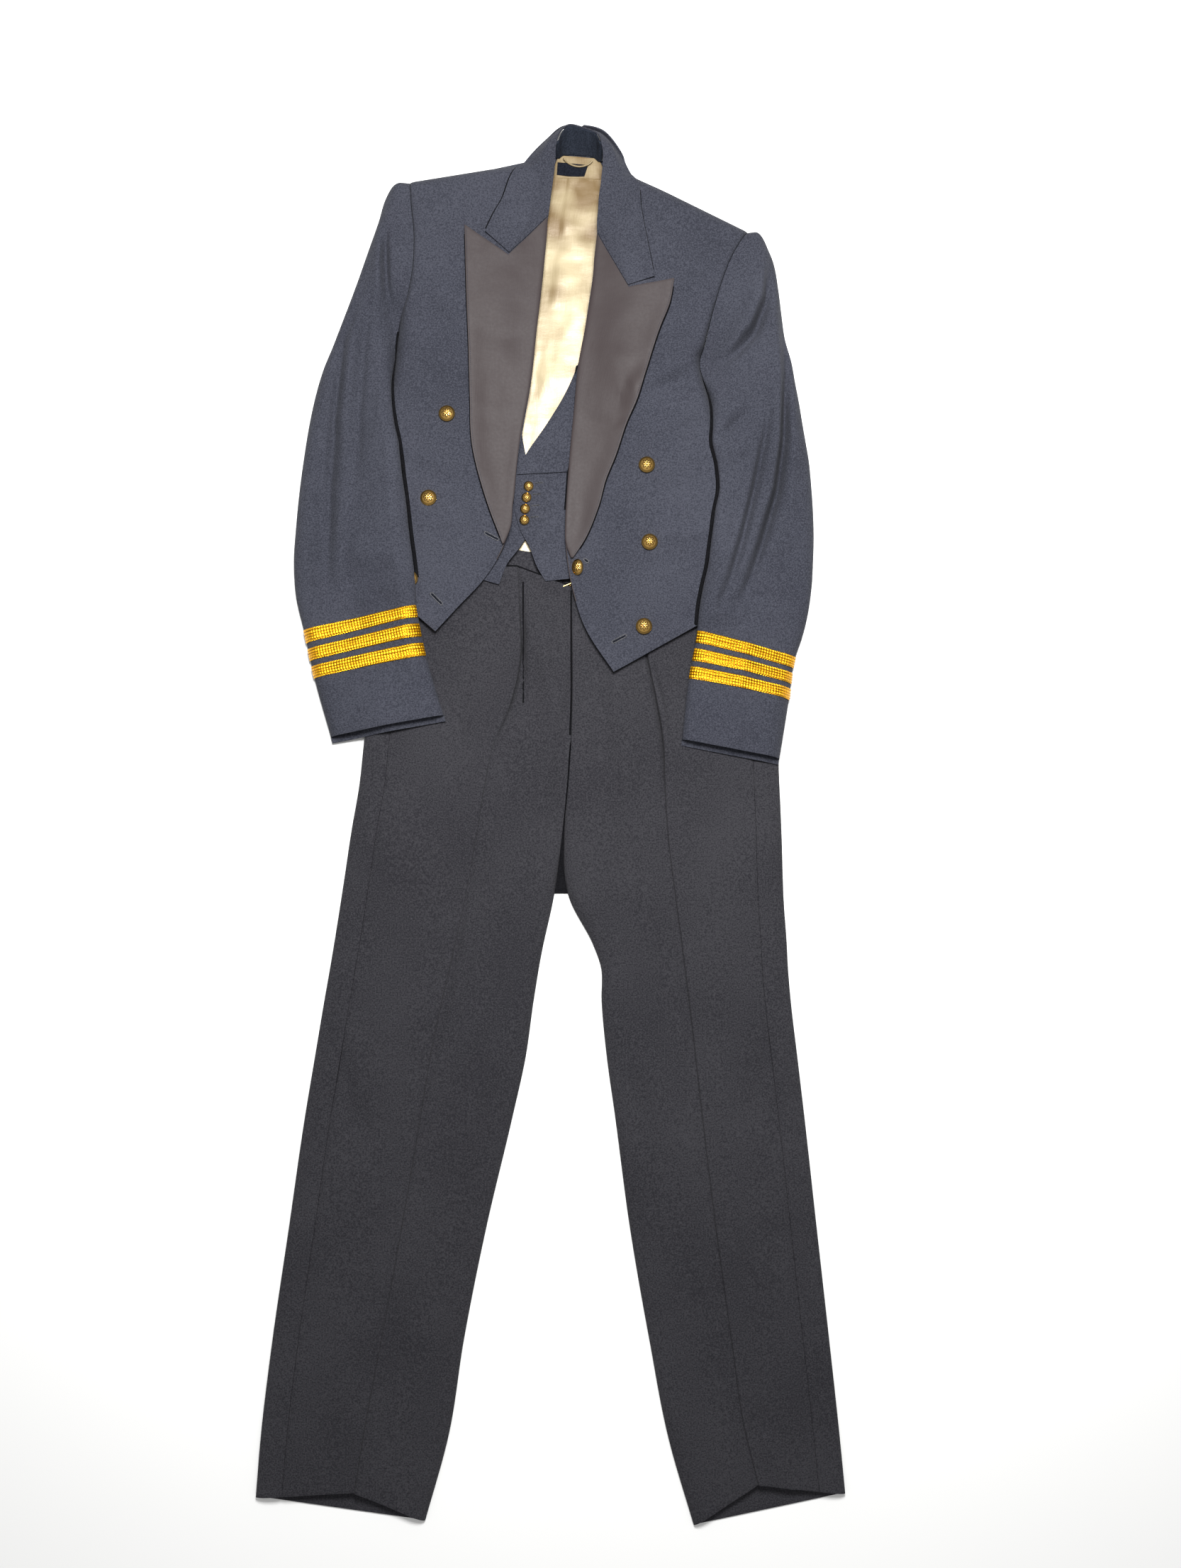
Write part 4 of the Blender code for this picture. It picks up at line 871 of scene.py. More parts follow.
collarColumns = (
    "fold_x", "fold_y", "fold_z", "mid_x", "mid_y", "mid_z", "edge_x", "edge_y", "edge_z"
)
collar = (
    (-4, 697, 12, -50, 650, 12, -78, 673, 12),
    (-2, 714, 14, -31, 683, 12, -68, 694, 12),
    (1, 737, 19, -22, 718, 12, -58, 712, 12),
    (4, 762, 26, -14, 746, 24, -46, 745, 12),
    (5, 781, 28, -10, 776, 26, -24, 777, 10),
    (9, 795, 29, 1, 795, 21, -7, 796, 6),
    (19, 804, 29, 15, 808, 18, 11, 811, 1),
    (36, 801, 29, 37, 806, 17, 38, 810, 1),
    (53, 794, 29, 58, 798, 18, 61, 803, 1),
    (58, 783, 28, 70, 781, 23, 80, 779, 6),
    (60, 767, 26, 76, 762, 26, 90, 757, 12),
    (58, 742, 20, 78, 738, 20, 101, 733, 12),
    (55, 708, 14, 79, 700, 12, 105, 698, 12),
    (53, 692, 12, 83, 662, 12, 113, 656, 12),
    (53, 677, 12, 89, 611, 12, 120, 619, 12),
)
standColumns = ("fold_x", "fold_y", "fold_z", "seam_x", "seam_y", "seam_z")
stand = (
    (7.5, 781, 27.5, 8, 774, 4.5),
    (12, 792.3, 28, 13, 778, 4.0),
    (20, 800.6, 28.2, 21, 779, 3.7),
    (35.5, 797.8, 28.2, 35, 778, 3.7),
    (50.6, 791.8, 28, 48, 776, 4.0),
    (56, 781, 27.5, 55, 770, 4.5),
)
collarLook = {
    "rows": 170,
    "columns": 12,
    "wrinkle": 0.25,
    "edgeLift": 2.2,
    "tuck": 4.0,           # how far the stand passes in under the collar's fold and ends
    "tuckDrop": 2.2,
    "ribs": 40,            # radians of the stand's ribs along it
    "ribHeight": 0.5,
    "cut": (0.075, 0.50),
    "standCut": (0.035, 0.11),
}


def ribbon(rows, v, names, shares):
    knots = [np.column_stack([rows.point(n, v), rows.read(n + "_z", v)]) for n in names]
    parts = [knots[0][:, None]]
    for a, b in zip(knots, knots[1:]):
        parts.append(a[:, None] + (b - a)[:, None] * shares[None, :, None])
    return np.concatenate(parts, axis=1)


def buildCollar():
    look = collarLook
    shares = np.linspace(0, 1, look["columns"] + 1)[1:]
    rows = PanelRows(collarColumns, collar)
    grid = ribbon(rows, np.linspace(0, 1, look["rows"]), ("fold", "mid", "edge"), shares)
    carriers = ["jacket_front_left", "jacket_front_right", "lapel_left", "lapel_right"]
    least = soften(grid[..., 2], 4)
    z = laidOn(carriers, grid[..., :2], stack["facingWall"], least, 2)
    z = z + look["wrinkle"] * ripple(grid[..., 0], grid[..., 1], 20, 9.3)
    z = z + look["edgeLift"] * np.linspace(-1, 1, grid.shape[1]).clip(0, 1) ** 3
    clothPiece("collar", np.dstack([grid[..., :2], z]), stack["facingWall"], "jacketWool")
    print("collar made")


def buildStand():
    look = collarLook
    shares = np.linspace(0, 1, look["columns"] + 1)[1:]
    rows = PanelRows(standColumns, stand)
    v = np.linspace(0, 1, 70)
    grid = ribbon(rows, v, ("seam", "fold"), shares)
    out = grid[:, -1] - grid[:, 0]
    beyond = grid[:, -1] + look["tuck"] * out / np.linalg.norm(out[:, :2], axis=1)[:, None]
    beyond[:, 2] = grid[:, -1, 2] - look["tuckDrop"]
    grid = np.concatenate([grid, beyond[:, None]], axis=1)
    for end, sign in ((0, -1.8), (-1, 1)):
        grid[end, :, 0] += sign * look["tuck"]
    ribs = np.sin(v * look["ribs"])[:, None] * np.sin(np.linspace(0, math.pi, grid.shape[1]))
    grid[..., 1] -= look["ribHeight"] * ribs
    clothPiece("collar_stand", grid, stack["facingWall"], "standWool")
    print("stand made")


# Waistcoat

waistcoatColumns = ("side_x", "side_y", "edge_x", "edge_y", "height", "edge_z")
waistcoatRight = (
    (150, 690, 61, 745, 11.5, 9.0),
    (135, 640, 56, 675, 11.5, 8.5),
    (150, 590, 50, 620, 12.0, 8.5),
    (160, 550, 42, 562, 12.0, 8.5),
    (170, 505, 27, 513, 12.2, 8.5),
    (178, 470, 13, 482, 12.3, 9.0),
    (184, 435, -6, 450, 12.3, 10.0),
    (188, 405, -34, 407, 12.3, 11.0),
    (190, 380, -43, 385, 12.3, 11.8),
    (191, 345, -43.5, 350, 12.3, 11.8),
    (191, 320, -36, 322, 12.6, 12.0),
    (190, 300, -25, 301, 13.4, 13.2),
    (189, 290, -17, 279, 15.2, 15.2),
    (187, 282, -7, 262, 15.6, 15.6),
)
waistcoatLeft = (
    (-125, 700, -2, 742, 10.0, 9.0),
    (-120, 650, -9, 690, 10.0, 9.0),
    (-135, 600, -14, 641, 10.0, 9.0),
    (-145, 560, -22, 559, 10.0, 9.0),
    (-152, 500, -29, 496, 9.8, 8.5),
    (-160, 455, -36, 452, 9.8, 8.5),
    (-166, 420, -30, 410, 9.8, 9.0),
    (-170, 385, -21, 380, 9.8, 9.0),
    (-173, 350, -21, 345, 9.8, 9.2),
    (-175, 325, -31, 313, 10.2, 9.8),
    (-176, 310, -39, 300, 12.6, 12.2),
    (-177, 300, -52, 282, 15.0, 15.0),
    (-177, 292, -61, 258, 15.4, 15.4),
)
waistcoatCollarColumns = ("roll_x", "roll_y", "edge_x", "edge_y")
waistcoatCollar = (
    (40, 548, 52, 540),
    (28.5, 512, 44, 500),
    (14.5, 481, 38, 470),
    (-4.5, 448, 30, 440),
    (-23, 419, 24, 415),
    (-32.5, 404, 20, 400),
    (-40.5, 388.5, 18, 391.5),
)
waistcoatLook = {
    "rows": 112,
    "columns": 50,
    "sideRoll": 14.0,
    "wrinkle": 0.35,
    "right": {"table": waistcoatRight, "cut": (0.26, 0.54), "folds": (
        (((40, 470), (0, 430), (-30, 400)), 0.8, 7, 9),
    )},
    "left": {"table": waistcoatLeft, "cut": (0.20, 0.52), "folds": (
        (((-60, 430), (-44, 380), (-40, 330)), 0.6, 7, 9),
    )},
    "collarCut": (0.075, 0.20),
}


def buildWaistcoatFronts():
    look = waistcoatLook
    for side in ("left", "right"):
        own = look[side]
        rows = PanelRows(waistcoatColumns, own["table"])
        v = np.sort(np.append(np.linspace(0, 1, look["rows"]), [0.002, 0.006, 0.012, 0.02]))
        start, end = rows.point("side", v), rows.point("edge", v)
        length = np.linalg.norm(end - start, axis=1)
        across = spread(length, look["sideRoll"], 3, look["columns"])
        plan = between(start, end, across / length[:, None])
        low = satinHeight(plan[..., 1]) + stack["seam"] + satinBacks["pleatRidge"]
        fromEdge = length[:, None] - across
        height = rows.read("height", v)[:, None]
        z = height - (height - rows.read("edge_z", v)[:, None]) * step(35, 0, fromEdge)
        down = v[:, None] * rows.length
        z = low + (z - low) * roll(across, look["sideRoll"]) * roll(down, look["sideRoll"])
        quiet = step(0, 20, np.minimum(across, fromEdge)) * step(0, 30, down)
        x, y = plan[..., 0], plan[..., 1]
        z = z + quiet * (foldHeight(x, y, own["folds"]) + look["wrinkle"] * ripple(x, y, 30, 4.4))
        clothPiece(f"waistcoat_front_{side}", np.dstack([plan, z]), stack["waistcoatWall"], "jacketWool")
    print("waistcoat fronts made")


def buildWaistcoatCollar():
    rows = PanelRows(waistcoatCollarColumns, waistcoatCollar)
    v = np.linspace(0, 1, 60)
    plan = even(rows.point("roll", v), rows.point("edge", v), 24)
    z = laidOn(["waistcoat_front_right"], plan, stack["facingWall"])
    clothPiece("waistcoat_collar", np.dstack([plan, z]), stack["facingWall"], "jacketWool")
    print("waistcoat collar made")


# Trousers

legColumns = ("outer_x", "outer_y", "crease_x", "crease_y", "inner_x", "inner_y",
               "back_reach", "crown", "inner_z", "pleat")
legLeft = (
    (-173, 281, -40, 279, 35, 251, 25, 12.6, 10.2, 1.0),
    (-187, 239, -38, 233, 35, 230, 25, 12.6, 10.2, 1.5),
    (-201, 193, -36, 183, 35, 184, 25, 13.0, 10.2, 2.5),
    (-212, 126, -46, 125, 34, 126, 25, 13.5, 10.2, 3.0),
    (-218, 71, -67, 70, 21.5, 71, 21.5, 14.0, 10.6, 0.6),
    (-222, 29, -76, 28, 18.5, 29, 18.5, 14.0, 10.0, 0),
    (-231, -28, -85, -28, 13, -28, 13, 14.0, 7.0, 0),
    (-240, -93, -96, -93, 4, -98, 4, 14.0, 2.0, 0),
    (-252, -174, -113, -174, -12, -174, -12, 13.5, 2.0, 0),
    (-260, -223, -124, -222, -20, -223, -20, 13.5, 2.0, 0),
    (-270, -287, -137, -286, -29, -287, -29, 13.0, 2.0, 0),
    (-280, -351, -147, -350, -43, -351, -43, 13.0, 2.0, 0),
    (-297, -478, -168, -476, -73, -478, -73, 12.5, 2.0, 0),
    (-314, -604, -190, -601, -98, -604, -98, 12.0, 2.0, 0),
    (-325, -704, -208, -701, -115, -711, -115, 12.0, 2.0, 0),
    (-330, -775, -218, -768, -140, -801, -140, 12.5, 2.0, 0),
)
legRight = (
    (202, 268, 105, 258, 25, 256, 25.6, 13.6, 13.6, 0.5),
    (221, 222, 108, 208, 25, 222, 25.6, 13.6, 13.6, 1.0),
    (234, 176, 112, 175, 25, 176, 25.6, 14.0, 13.6, 2.0),
    (251, 126, 122, 125, 25, 126, 25.6, 14.0, 13.6, 3.0),
    (262, 71, 130, 70, 23, 71, 23.6, 14.0, 13.2, 2.0),
    (264, 29, 131, 28, 20, 29, 20.6, 14.0, 12.0, 0.6),
    (266, -28, 134, -28, 15, -28, 15.6, 14.0, 7.0, 0),
    (268, -110, 143, -104, 21, -106, 21.3, 14.0, 2.0, 0),
    (271, -158, 150, -158, 48, -158, 48, 13.5, 2.0, 0),
    (272, -183, 153, -182, 57, -183, 57, 13.5, 2.0, 0),
    (275, -223, 158, -222, 58, -223, 58, 13.5, 2.0, 0),
    (282, -287, 165, -286, 64, -287, 64, 13.0, 2.0, 0),
    (289, -351, 172, -350, 73, -351, 73, 13.0, 2.0, 0),
    (302, -478, 187, -476, 90, -478, 90, 12.5, 2.0, 0),
    (315, -604, 204, -601, 112, -604, 112, 12.0, 2.0, 0),
    (325, -704, 217, -693, 134, -715, 134, 12.0, 2.0, 0),
    (331, -771, 233, -759, 161, -806, 161, 12.5, 2.0, 0),
)
trousers = {
    "rows": 210,
    "columns": 36,
    "roll": 20.0,
    "underRoll": 7.0,
    "underShare": 0.6,
    "sideSeam": 30.0,
    "crownFall": 1.2,      # how far the top falls from the crease to the sides
    "creaseRidge": 2.2,
    "pleatReach": 14.0,
    "pleatSlit": 3.5,      # extra depth of the dark slit beside a pleat
    "creaseStep": 1.7,     # a pressed crease stands higher on its right side
    "creaseFoot": 1.3,
    "flyTuck": 24.0,
    "waistRise": 40.0,
    "waistLift": 2.2,      # how far the front's waist edge stands off the back
    "waistReach": 90.0,
    "baseHigh": 4.2,
    "baseTop": 225.0,
    "baseLow": 180.0,
    "seamDip": 0.9,        # how far the cloth dips at the side seam
    "foldGain": 1.4,       # makes all the folds below deeper or shallower
    "wrinkle": 0.45,
    "left": {"table": legLeft, "cut": (0.25, 1.08), "backCut": (0.28, 1.12), "folds": (
        (((-34, 262), (-33, 190), (-32.5, 118)), -5.0, 3, 1.8),
        (((-30, 235), (-8, 195), (-6, 120)), 1.6, 7, 9),
        (((22, 250), (25, 150), (23, 70), (20, 20)), -2.6, 5, 6),
        (((-28, 235), (2, 195), (8, 150)), -2.2, 7, 8),
        (((-12, 205), (4, 120), (-6, 30), (-22, -60)), 2.4, 10, 12),
        (((-62, 60), (-84, -60), (-104, -200), (-140, -360)), -3.0, 12, 7),
        (((-150, -400), (-176, -520), (-190, -640)), -2.0, 11, 7),
        (((-120, 190), (-108, 90), (-112, 0)), -2.0, 14, 14),
        (((-60, -260), (-84, -330), (-110, -420)), 2.2, 12, 16),
        (((-250, -260), (-230, -330), (-200, -390)), -2.2, 12, 16),
        (((-196, -560), (-230, -620), (-250, -700)), 2.0, 12, 12),
    )},
    "right": {"table": legRight, "cut": (0.25, 1.08), "backCut": (0.28, 1.12), "folds": (
        (((120, 190), (136, 110), (150, 20)), 1.4, 8, 10),
        (((114, 176), (130, 113), (133, 70)), -2.4, 2.5, 5),
        (((38, 235), (62, 130), (58, 10)), -2.4, 10, 14),
        (((70, 150), (92, 60), (96, -60)), 2.0, 12, 14),
        (((142, -60), (150, -180), (164, -330)), -2.2, 12, 6),
        (((176, -420), (196, -540), (212, -660)), -1.8, 11, 6),
        (((90, -250), (120, -330), (140, -400)), 2.2, 12, 14),
        (((262, -240), (236, -320), (210, -380)), -2.2, 12, 16),
        (((240, -700), (262, -745), (275, -790)), 2.2, 12, 14),
    )},
}


class Leg:
    # one leg's lines, and the lengths from its outer fold to the crease and on to its inner edge

    def __init__(self, side):
        self.side = side
        self.own = trousers[side]
        self.rows = PanelRows(legColumns, self.own["table"])
        self.v = np.linspace(0, 1, trousers["rows"])
        self.outer, self.crease, self.inner = (
            self.rows.point(name, self.v) for name in ("outer", "crease", "inner")
        )
        self.toCrease = np.linalg.norm(self.crease - self.outer, axis=1)[:, None]
        self.beyond = np.linalg.norm(self.inner - self.crease, axis=1)[:, None]

    def column(self, name):
        return self.rows.read(name, self.v)[:, None]

    def planAt(self, distance):
        # places over the crease at distances from the outer fold
        first = between(self.outer, self.crease, np.clip(distance / self.toCrease, 0, 1))
        second = between(self.crease, self.inner, np.clip((distance - self.toCrease) / self.beyond, 0, 1))
        return np.where((distance <= self.toCrease)[..., None], first, second)


def legBase(leg):
    raised = step(trousers["baseLow"], trousers["baseTop"], leg.column("outer_y"))
    return trousers["baseHigh"] * raised


def pressedCrease(leg, past):
    # the dark foot and the lit step of a pressed crease, and the slit beside its pleat
    look = trousers
    eastward = -past if leg.side == "right" else past
    pressed = step(150, 90, leg.column("crease_y"))
    lifted = look["creaseStep"] * np.exp(-np.clip(eastward, 0, None) / 22) * step(-0.8, 0.8, eastward)
    foot = look["creaseFoot"] * np.exp(-((eastward + 1.2) / np.where(eastward < -1.2, 7.0, 2.0)) ** 2)
    pleat = np.clip(leg.column("pleat") / 2, 0, 1)
    slit = look["pleatSlit"] * pleat * np.exp(-(((past - 2.0) / 1.3) ** 2))
    return pressed * (lifted - foot) - slit


def legTop(leg, fromOuter):
    look = trousers
    innerZ = leg.column("inner_z")
    past = fromOuter - leg.toCrease
    fromInner = leg.toCrease + leg.beyond - fromOuter
    mid = legBase(leg) + look["underRoll"] * look["underShare"]
    top = leg.column("crown") - look["crownFall"] * np.clip(np.abs(past) / leg.toCrease, 0, 1)
    pressed = step(60, -120, leg.column("crease_y"))
    top = top + look["creaseRidge"] * pressed * (np.exp(-np.abs(past) / 14) - 0.6)
    hollow = np.exp(-np.clip(past, 0, None) / look["pleatReach"]) * step(0, 1.2, past)
    top = top - np.clip(leg.column("pleat"), 0, None) * hollow
    z = mid + (top - mid) * roll(fromOuter, look["roll"])
    drop = np.maximum(innerZ, stack["trouserWall"] + stack["seam"])
    inLeg = step(12, 2, innerZ)
    if leg.side == "left":
        # its inner edge passes in under the fly
        inside = inLeg * roll(fromInner, 20) + (1 - inLeg) * step(0, look["flyTuck"], fromInner)
    else:
        inside = roll(fromInner, 3 + 17 * inLeg)
    return drop + (z - drop) * inside


def trouserFront(leg):
    look = trousers
    start = look["sideSeam"] + stack["seam"]
    quarter = np.linspace(0, math.pi / 2, look["columns"])[None, :]
    ahead = start + (leg.toCrease - start) * np.sin(quarter)
    near = leg.toCrease + np.array([[0.3, 0.7, 1.2, 2, 3.5, 6, 9, 13]])
    tail = spread(leg.beyond[:, 0] - 16, 14, 0, look["columns"])[:, ::-1]
    whole = leg.toCrease + leg.beyond
    distance = np.concatenate([ahead, near, whole - tail], axis=1)
    plan = leg.planAt(distance)
    x, y = plan[..., 0], plan[..., 1]
    quiet = step(0, 25, distance) * step(0, 18, whole - distance)
    z = legTop(leg, distance)
    z = z - look["seamDip"] * np.exp(-(distance - look["sideSeam"]) / 2.5)
    z = z + look["waistLift"] * np.exp(-((leg.v[:, None] * leg.rows.length / 9) ** 2))
    z = z + quiet * pressedCrease(leg, distance - leg.toCrease)
    z = z + quiet * (look["foldGain"] * foldHeight(x, y, leg.own["folds"])
                   + look["wrinkle"] * ripple(x, y, 60, 6.1, (1.6, 0.8)))
    clothPiece(f"trouser_front_{leg.side}", np.dstack([plan, z]), stack["trouserWall"], "trouserWool")


def trouserBack(leg):
    # from the side seam round the outer fold, and in under the leg
    look = trousers
    seam = look["sideSeam"] + 0 * leg.toCrease
    top = spread(seam[:, 0], 12, 0, 8)
    zTop = legTop(leg, top) - look["seamDip"] * np.exp(-(seam - top) / 2.5)
    reach = np.stack([leg.rows.read("back_reach", leg.v), leg.inner[:, 1]], axis=1)
    whole = np.linalg.norm(reach - leg.outer, axis=1)[:, None]
    under = spread(whole[:, 0], look["underRoll"], 0, 16)[:, 1:]
    rise = look["underRoll"] * look["underShare"] * (1 - roll(under, look["underRoll"]))
    low = between(leg.outer, reach, under / whole)
    low[..., 1] += look["waistRise"] * step(8, look["waistReach"], under) * step(0.03, 0, leg.v)[:, None]
    plan = np.concatenate([leg.planAt(top)[:, ::-1], low], axis=1)
    z = np.concatenate([zTop[:, ::-1], legBase(leg) + rise], axis=1)
    clothPiece(f"trouser_back_{leg.side}", np.dstack([plan, z]), stack["trouserWall"], "trouserWool",
               upward=False)


def buildTrousers():
    for side in ("left", "right"):
        leg = Leg(side)
        trouserFront(leg)
        trouserBack(leg)
    print("trousers made")


# Sleeves and the lace on their cuffs

sleeveColumns = ("outer_x", "outer_y", "inner_x", "inner_y", "crown", "lift")
sleeveLeft = (
    (-180, 739.5, -168, 741, 27, 0),
    (-190, 735, -167, 725, 27, 0),
    (-198, 723, -165, 704, 27, 0),
    (-207, 693, -162, 670, 26, 0),
    (-219, 657, -164, 631, 26, 0),
    (-230, 624, -170, 601, 26, 0),
    (-239, 598, -179, 576, 25, 0),
    (-248, 573, -183, 554, 25, 0),
    (-259, 543, -186.5, 526, 24, 0.2),
    (-270, 515, -188, 494, 23, 1),
    (-281, 475, -184, 452, 21, 1),
    (-287, 443, -178, 422, 20, 1),
    (-292, 408, -174, 389, 19, 1),
    (-296.5, 370, -169, 356, 18, 1),
    (-300, 328, -165, 320, 17, 1),
    (-302, 287, -160.5, 287, 16, 1),
    (-299, 246, -157, 258, 16, 1),
    (-289, 205, -155.8, 231.6, 16.5, 1),
    (-276, 149, -144.7, 174.2, 16.5, 1),
    (-256, 80.5, -124, 104.8, 16, 1),
)
sleeveRight = (
    (243, 681, 232, 680, 27, 0),
    (250, 673, 227, 668, 27, 0),
    (257, 659, 215, 653, 27, 0),
    (263.5, 641, 204, 629, 27, 0),
    (268, 613, 195, 602, 26, 0),
    (271.5, 583, 187, 574, 26, 0),
    (275.5, 553, 180, 545, 25, 0),
    (283, 524, 174, 521, 25, 0),
    (287, 500, 182, 503, 24, 0),
    (291, 478, 185, 486, 24, 0.3),
    (295, 452, 188, 464, 23, 1),
    (298.5, 430, 188, 444, 22, 1),
    (302, 408, 187, 425, 21, 1),
    (304.5, 380, 193, 398, 20, 1),
    (306.3, 350, 195, 368, 19, 1),
    (307, 322, 190, 342, 19, 1),
    (306, 288, 185, 306, 18, 1),
    (304, 257, 181, 277, 17, 1),
    (300, 229, 176, 256, 16, 1),
    (293, 200, 171, 229, 16, 1),
    (284, 173.4, 168.5, 202.5, 16.5, 1),
    (276, 124, 158.7, 147.7, 16.5, 1),
    (263.5, 55, 150.5, 76.8, 16, 1),
)
sleeves = {
    "rows": 200,
    "columns": 64,
    "underColumns": 20,
    "roll": 17.0,
    "settle": 0.35,        # share of a sleeve's height lost where it lies on the body
    "capReach": 45.0,
    "bodyGap": 0.4,
    "cuffStep": 7.0,       # how far the under sleeve passes the top one at the cuff
    "wrinkle": 0.6,
    "foldGain": 1.35,
    "left": {"table": sleeveLeft, "armpitRow": 6, "cut": (0.24, 0.70), "underCut": (0.16, 0.69), "folds": (
        (((-196, 700), (-204, 640), (-202, 590), (-194, 556)), 4.0, 3, 14),
        (((-199, 696), (-196, 649), (-194, 612), (-186, 575), (-183, 500)), -9.0, 5, 4.5),
        (((-226, 600), (-236, 560), (-244, 500), (-250, 440)), 4.0, 14, 7),
        (((-205, 668), (-228, 595), (-243, 547), (-249, 496), (-255, 445), (-259, 378),
          (-259, 250)), -6.0, 7, 5),
        (((-222, 620), (-262, 540), (-279, 470)), 2.4, 9, 8),
        (((-208, 645), (-220, 547), (-225, 470), (-227, 378)), -3.6, 6, 7),
        (((-232, 560), (-238, 440), (-244, 330), (-246, 240)), 2.6, 10, 9),
        (((-232, 350), (-238, 290), (-232, 220)), -1.6, 8, 9),
        (((-196, 480), (-206, 420), (-202, 360)), 1.8, 12, 12),
        (((-280, 470), (-240, 452), (-210, 462)), 1.6, 8, 12),
        (((-296, 380), (-262, 366), (-230, 376)), 1.2, 8, 12),
        (((-290, 250), (-240, 262), (-190, 280)), -1.0, 10, 12),
    )},
    "right": {"table": sleeveRight, "armpitRow": 7, "cut": (0.24, 0.70), "underCut": (0.17, 0.69), "folds": (
        (((178, 526), (208, 541), (231, 566), (244, 600), (250, 645)), 6.5, 16, 4),
        (((182, 514), (214, 529), (238, 556), (252, 592), (258, 645)), -8.0, 5, 6),
        (((262, 590), (265, 506), (263, 428), (254, 369), (236, 311), (212, 245)), 6.0, 4, 13),
        (((270, 610), (275, 506), (272, 428), (264, 369), (247, 311), (233, 269), (216, 232)), -10.0, 5, 4),
        (((250, 470), (243, 428), (230, 369), (214, 311), (198, 262)), 3.0, 4, 8),
        (((255, 470), (248, 428), (236, 369), (222, 311), (208, 265), (190, 222)), -6.5, 5, 4.5),
        (((280, 480), (284, 420), (276, 350), (256, 290)), 3.0, 10, 7),
        (((190, 424), (208, 441), (230, 461)), -4.0, 4.5, 4),
        (((194, 410), (216, 412), (238, 428)), 2.6, 8, 8),
        (((290, 500), (292, 440), (286, 360)), -2.0, 8, 12),
        (((196, 452), (214, 466), (232, 482)), 2.2, 7, 8),
        (((200, 400), (214, 340), (206, 290)), -2.0, 10, 12),
        (((296, 330), (270, 300), (240, 292)), 1.6, 9, 12),
        (((290, 250), (250, 240), (200, 252)), -1.0, 10, 12),
    )},
}
sleeveTops = {}


def armhole(side, y):
    rows = edges[side]
    v = np.linspace(0, 1, 300)
    line = rows.point("side", v)
    x = np.interp(-y, -line[:, 1], line[:, 0])
    v = np.interp(-y, -line[:, 1], v)
    crown = roll(v * rows.length, jacketFronts["shoulderRoll"])
    height = foldBase + (rows.read("side_z", v) - foldBase) * crown
    return x + (-sleeves["bodyGap"] if side == "left" else sleeves["bodyGap"]), height


def seatUnder(tree, plan):
    # the top of the frame's under sleeve at each point, filled in where a ray passes it
    z = heightsOn([tree], plan)
    for row in z:
        hit = row > 0
        if hit.any():
            row[:] = np.interp(np.arange(len(row)), np.flatnonzero(hit), row[hit])
    for j in range(z.shape[1]):
        hit = z[:, j] > 0
        z[:, j] = np.interp(np.arange(len(z)), np.flatnonzero(hit), z[hit, j])
    return soften(z, 5)


def underSleeve(side, outer, inner, length, tree):
    look = sleeves
    across = spread(length[:, 0], look["roll"], look["roll"], look["underColumns"], 4)
    plan = between(outer, inner, across / length)
    cuff = plan[-1] - plan[-2]
    plan[-1] += cuff * look["cuffStep"] / np.linalg.norm(cuff, axis=1)[:, None]
    clothPiece(f"sleeve_under_{side}", np.dstack([plan, seatUnder(tree, plan)]), stack["sleeveWall"],
               "jacketWool")


def buildSleeves():
    look = sleeves
    for side in ("left", "right"):
        own = look[side]
        rows = PanelRows(sleeveColumns, own["table"])
        v = rolledRows(rows, look["roll"], look["rows"])
        outer, inner = rows.point("outer", v), rows.point("inner", v)
        lift = np.clip(rows.read("lift", v), 0, 1)
        bodyX, bodyZ = armhole(side, inner[:, 1])
        inner[:, 0] += (1 - lift) * (bodyX - inner[:, 0])
        length = np.linalg.norm(inner - outer, axis=1)[:, None]
        across = spread(length[:, 0], look["roll"], look["roll"], look["columns"], 9)
        width = look["roll"] * np.minimum(1, 0.4 * length / look["roll"])
        plan = between(outer, inner, across / length)
        tree = treeOf(f"sleeve_under_{side}")
        seat = seatUnder(tree, plan)
        floor = seat + stack["seam"] + 0.25
        crown = rows.read("crown", v)[:, None] * (1 - look["settle"] * np.clip(seat / 20, 0, 1))
        x, y = plan[..., 0], plan[..., 1]
        puff = crown + look["foldGain"] * foldHeight(x, y, own["folds"])
        puff = puff + look["wrinkle"] * ripple(x, y, 30, 2.2, (1.4, 0.8))
        puff = np.clip(puff - 2.1, 0, None) * roll(v * rows.length, look["roll"])[:, None]
        armpit = rows.at[own["armpitRow"]]
        sewn = step(1.0, 0.0, lift)[:, None] * step(armpit + 0.09, armpit - 0.02, v)[:, None]
        inside = length - across
        near = (1 - step(0, look["capReach"], inside)) * sewn
        puff = puff * (sewn + (1 - sewn) * roll(inside, width))
        toBody = np.clip(bodyZ[:, None] - floor, 0, None)
        z = floor + ((1 - near) * puff + near * toBody) * roll(across, width)
        grid = np.dstack([plan, soften(z, 1)])
        sleeveTops[side] = (v, rows, grid)
        clothPiece(f"sleeve_top_{side}", grid, stack["sleeveWall"], "jacketWool")
        underSleeve(side, outer, inner, length, tree)
    print("sleeves made")


cuffLace = {
    "topRow": -3,          # the sleeve table's rows at the two ends of the lace
    "lowRow": -2,
    "shares": ((0.0, 0.2456), (0.377, 0.623), (0.754, 1.0)),
    "cords": 4,            # raised cords along each row of lace
    "cordHeight": 0.7,
    "picot": 2.6,          # length of one scallop of its edge
    "picotReach": 0.7,
    "thick": 0.8,
    "along": 250,
    "across": 19,
    "cut": (0.0145, 0.165),
}


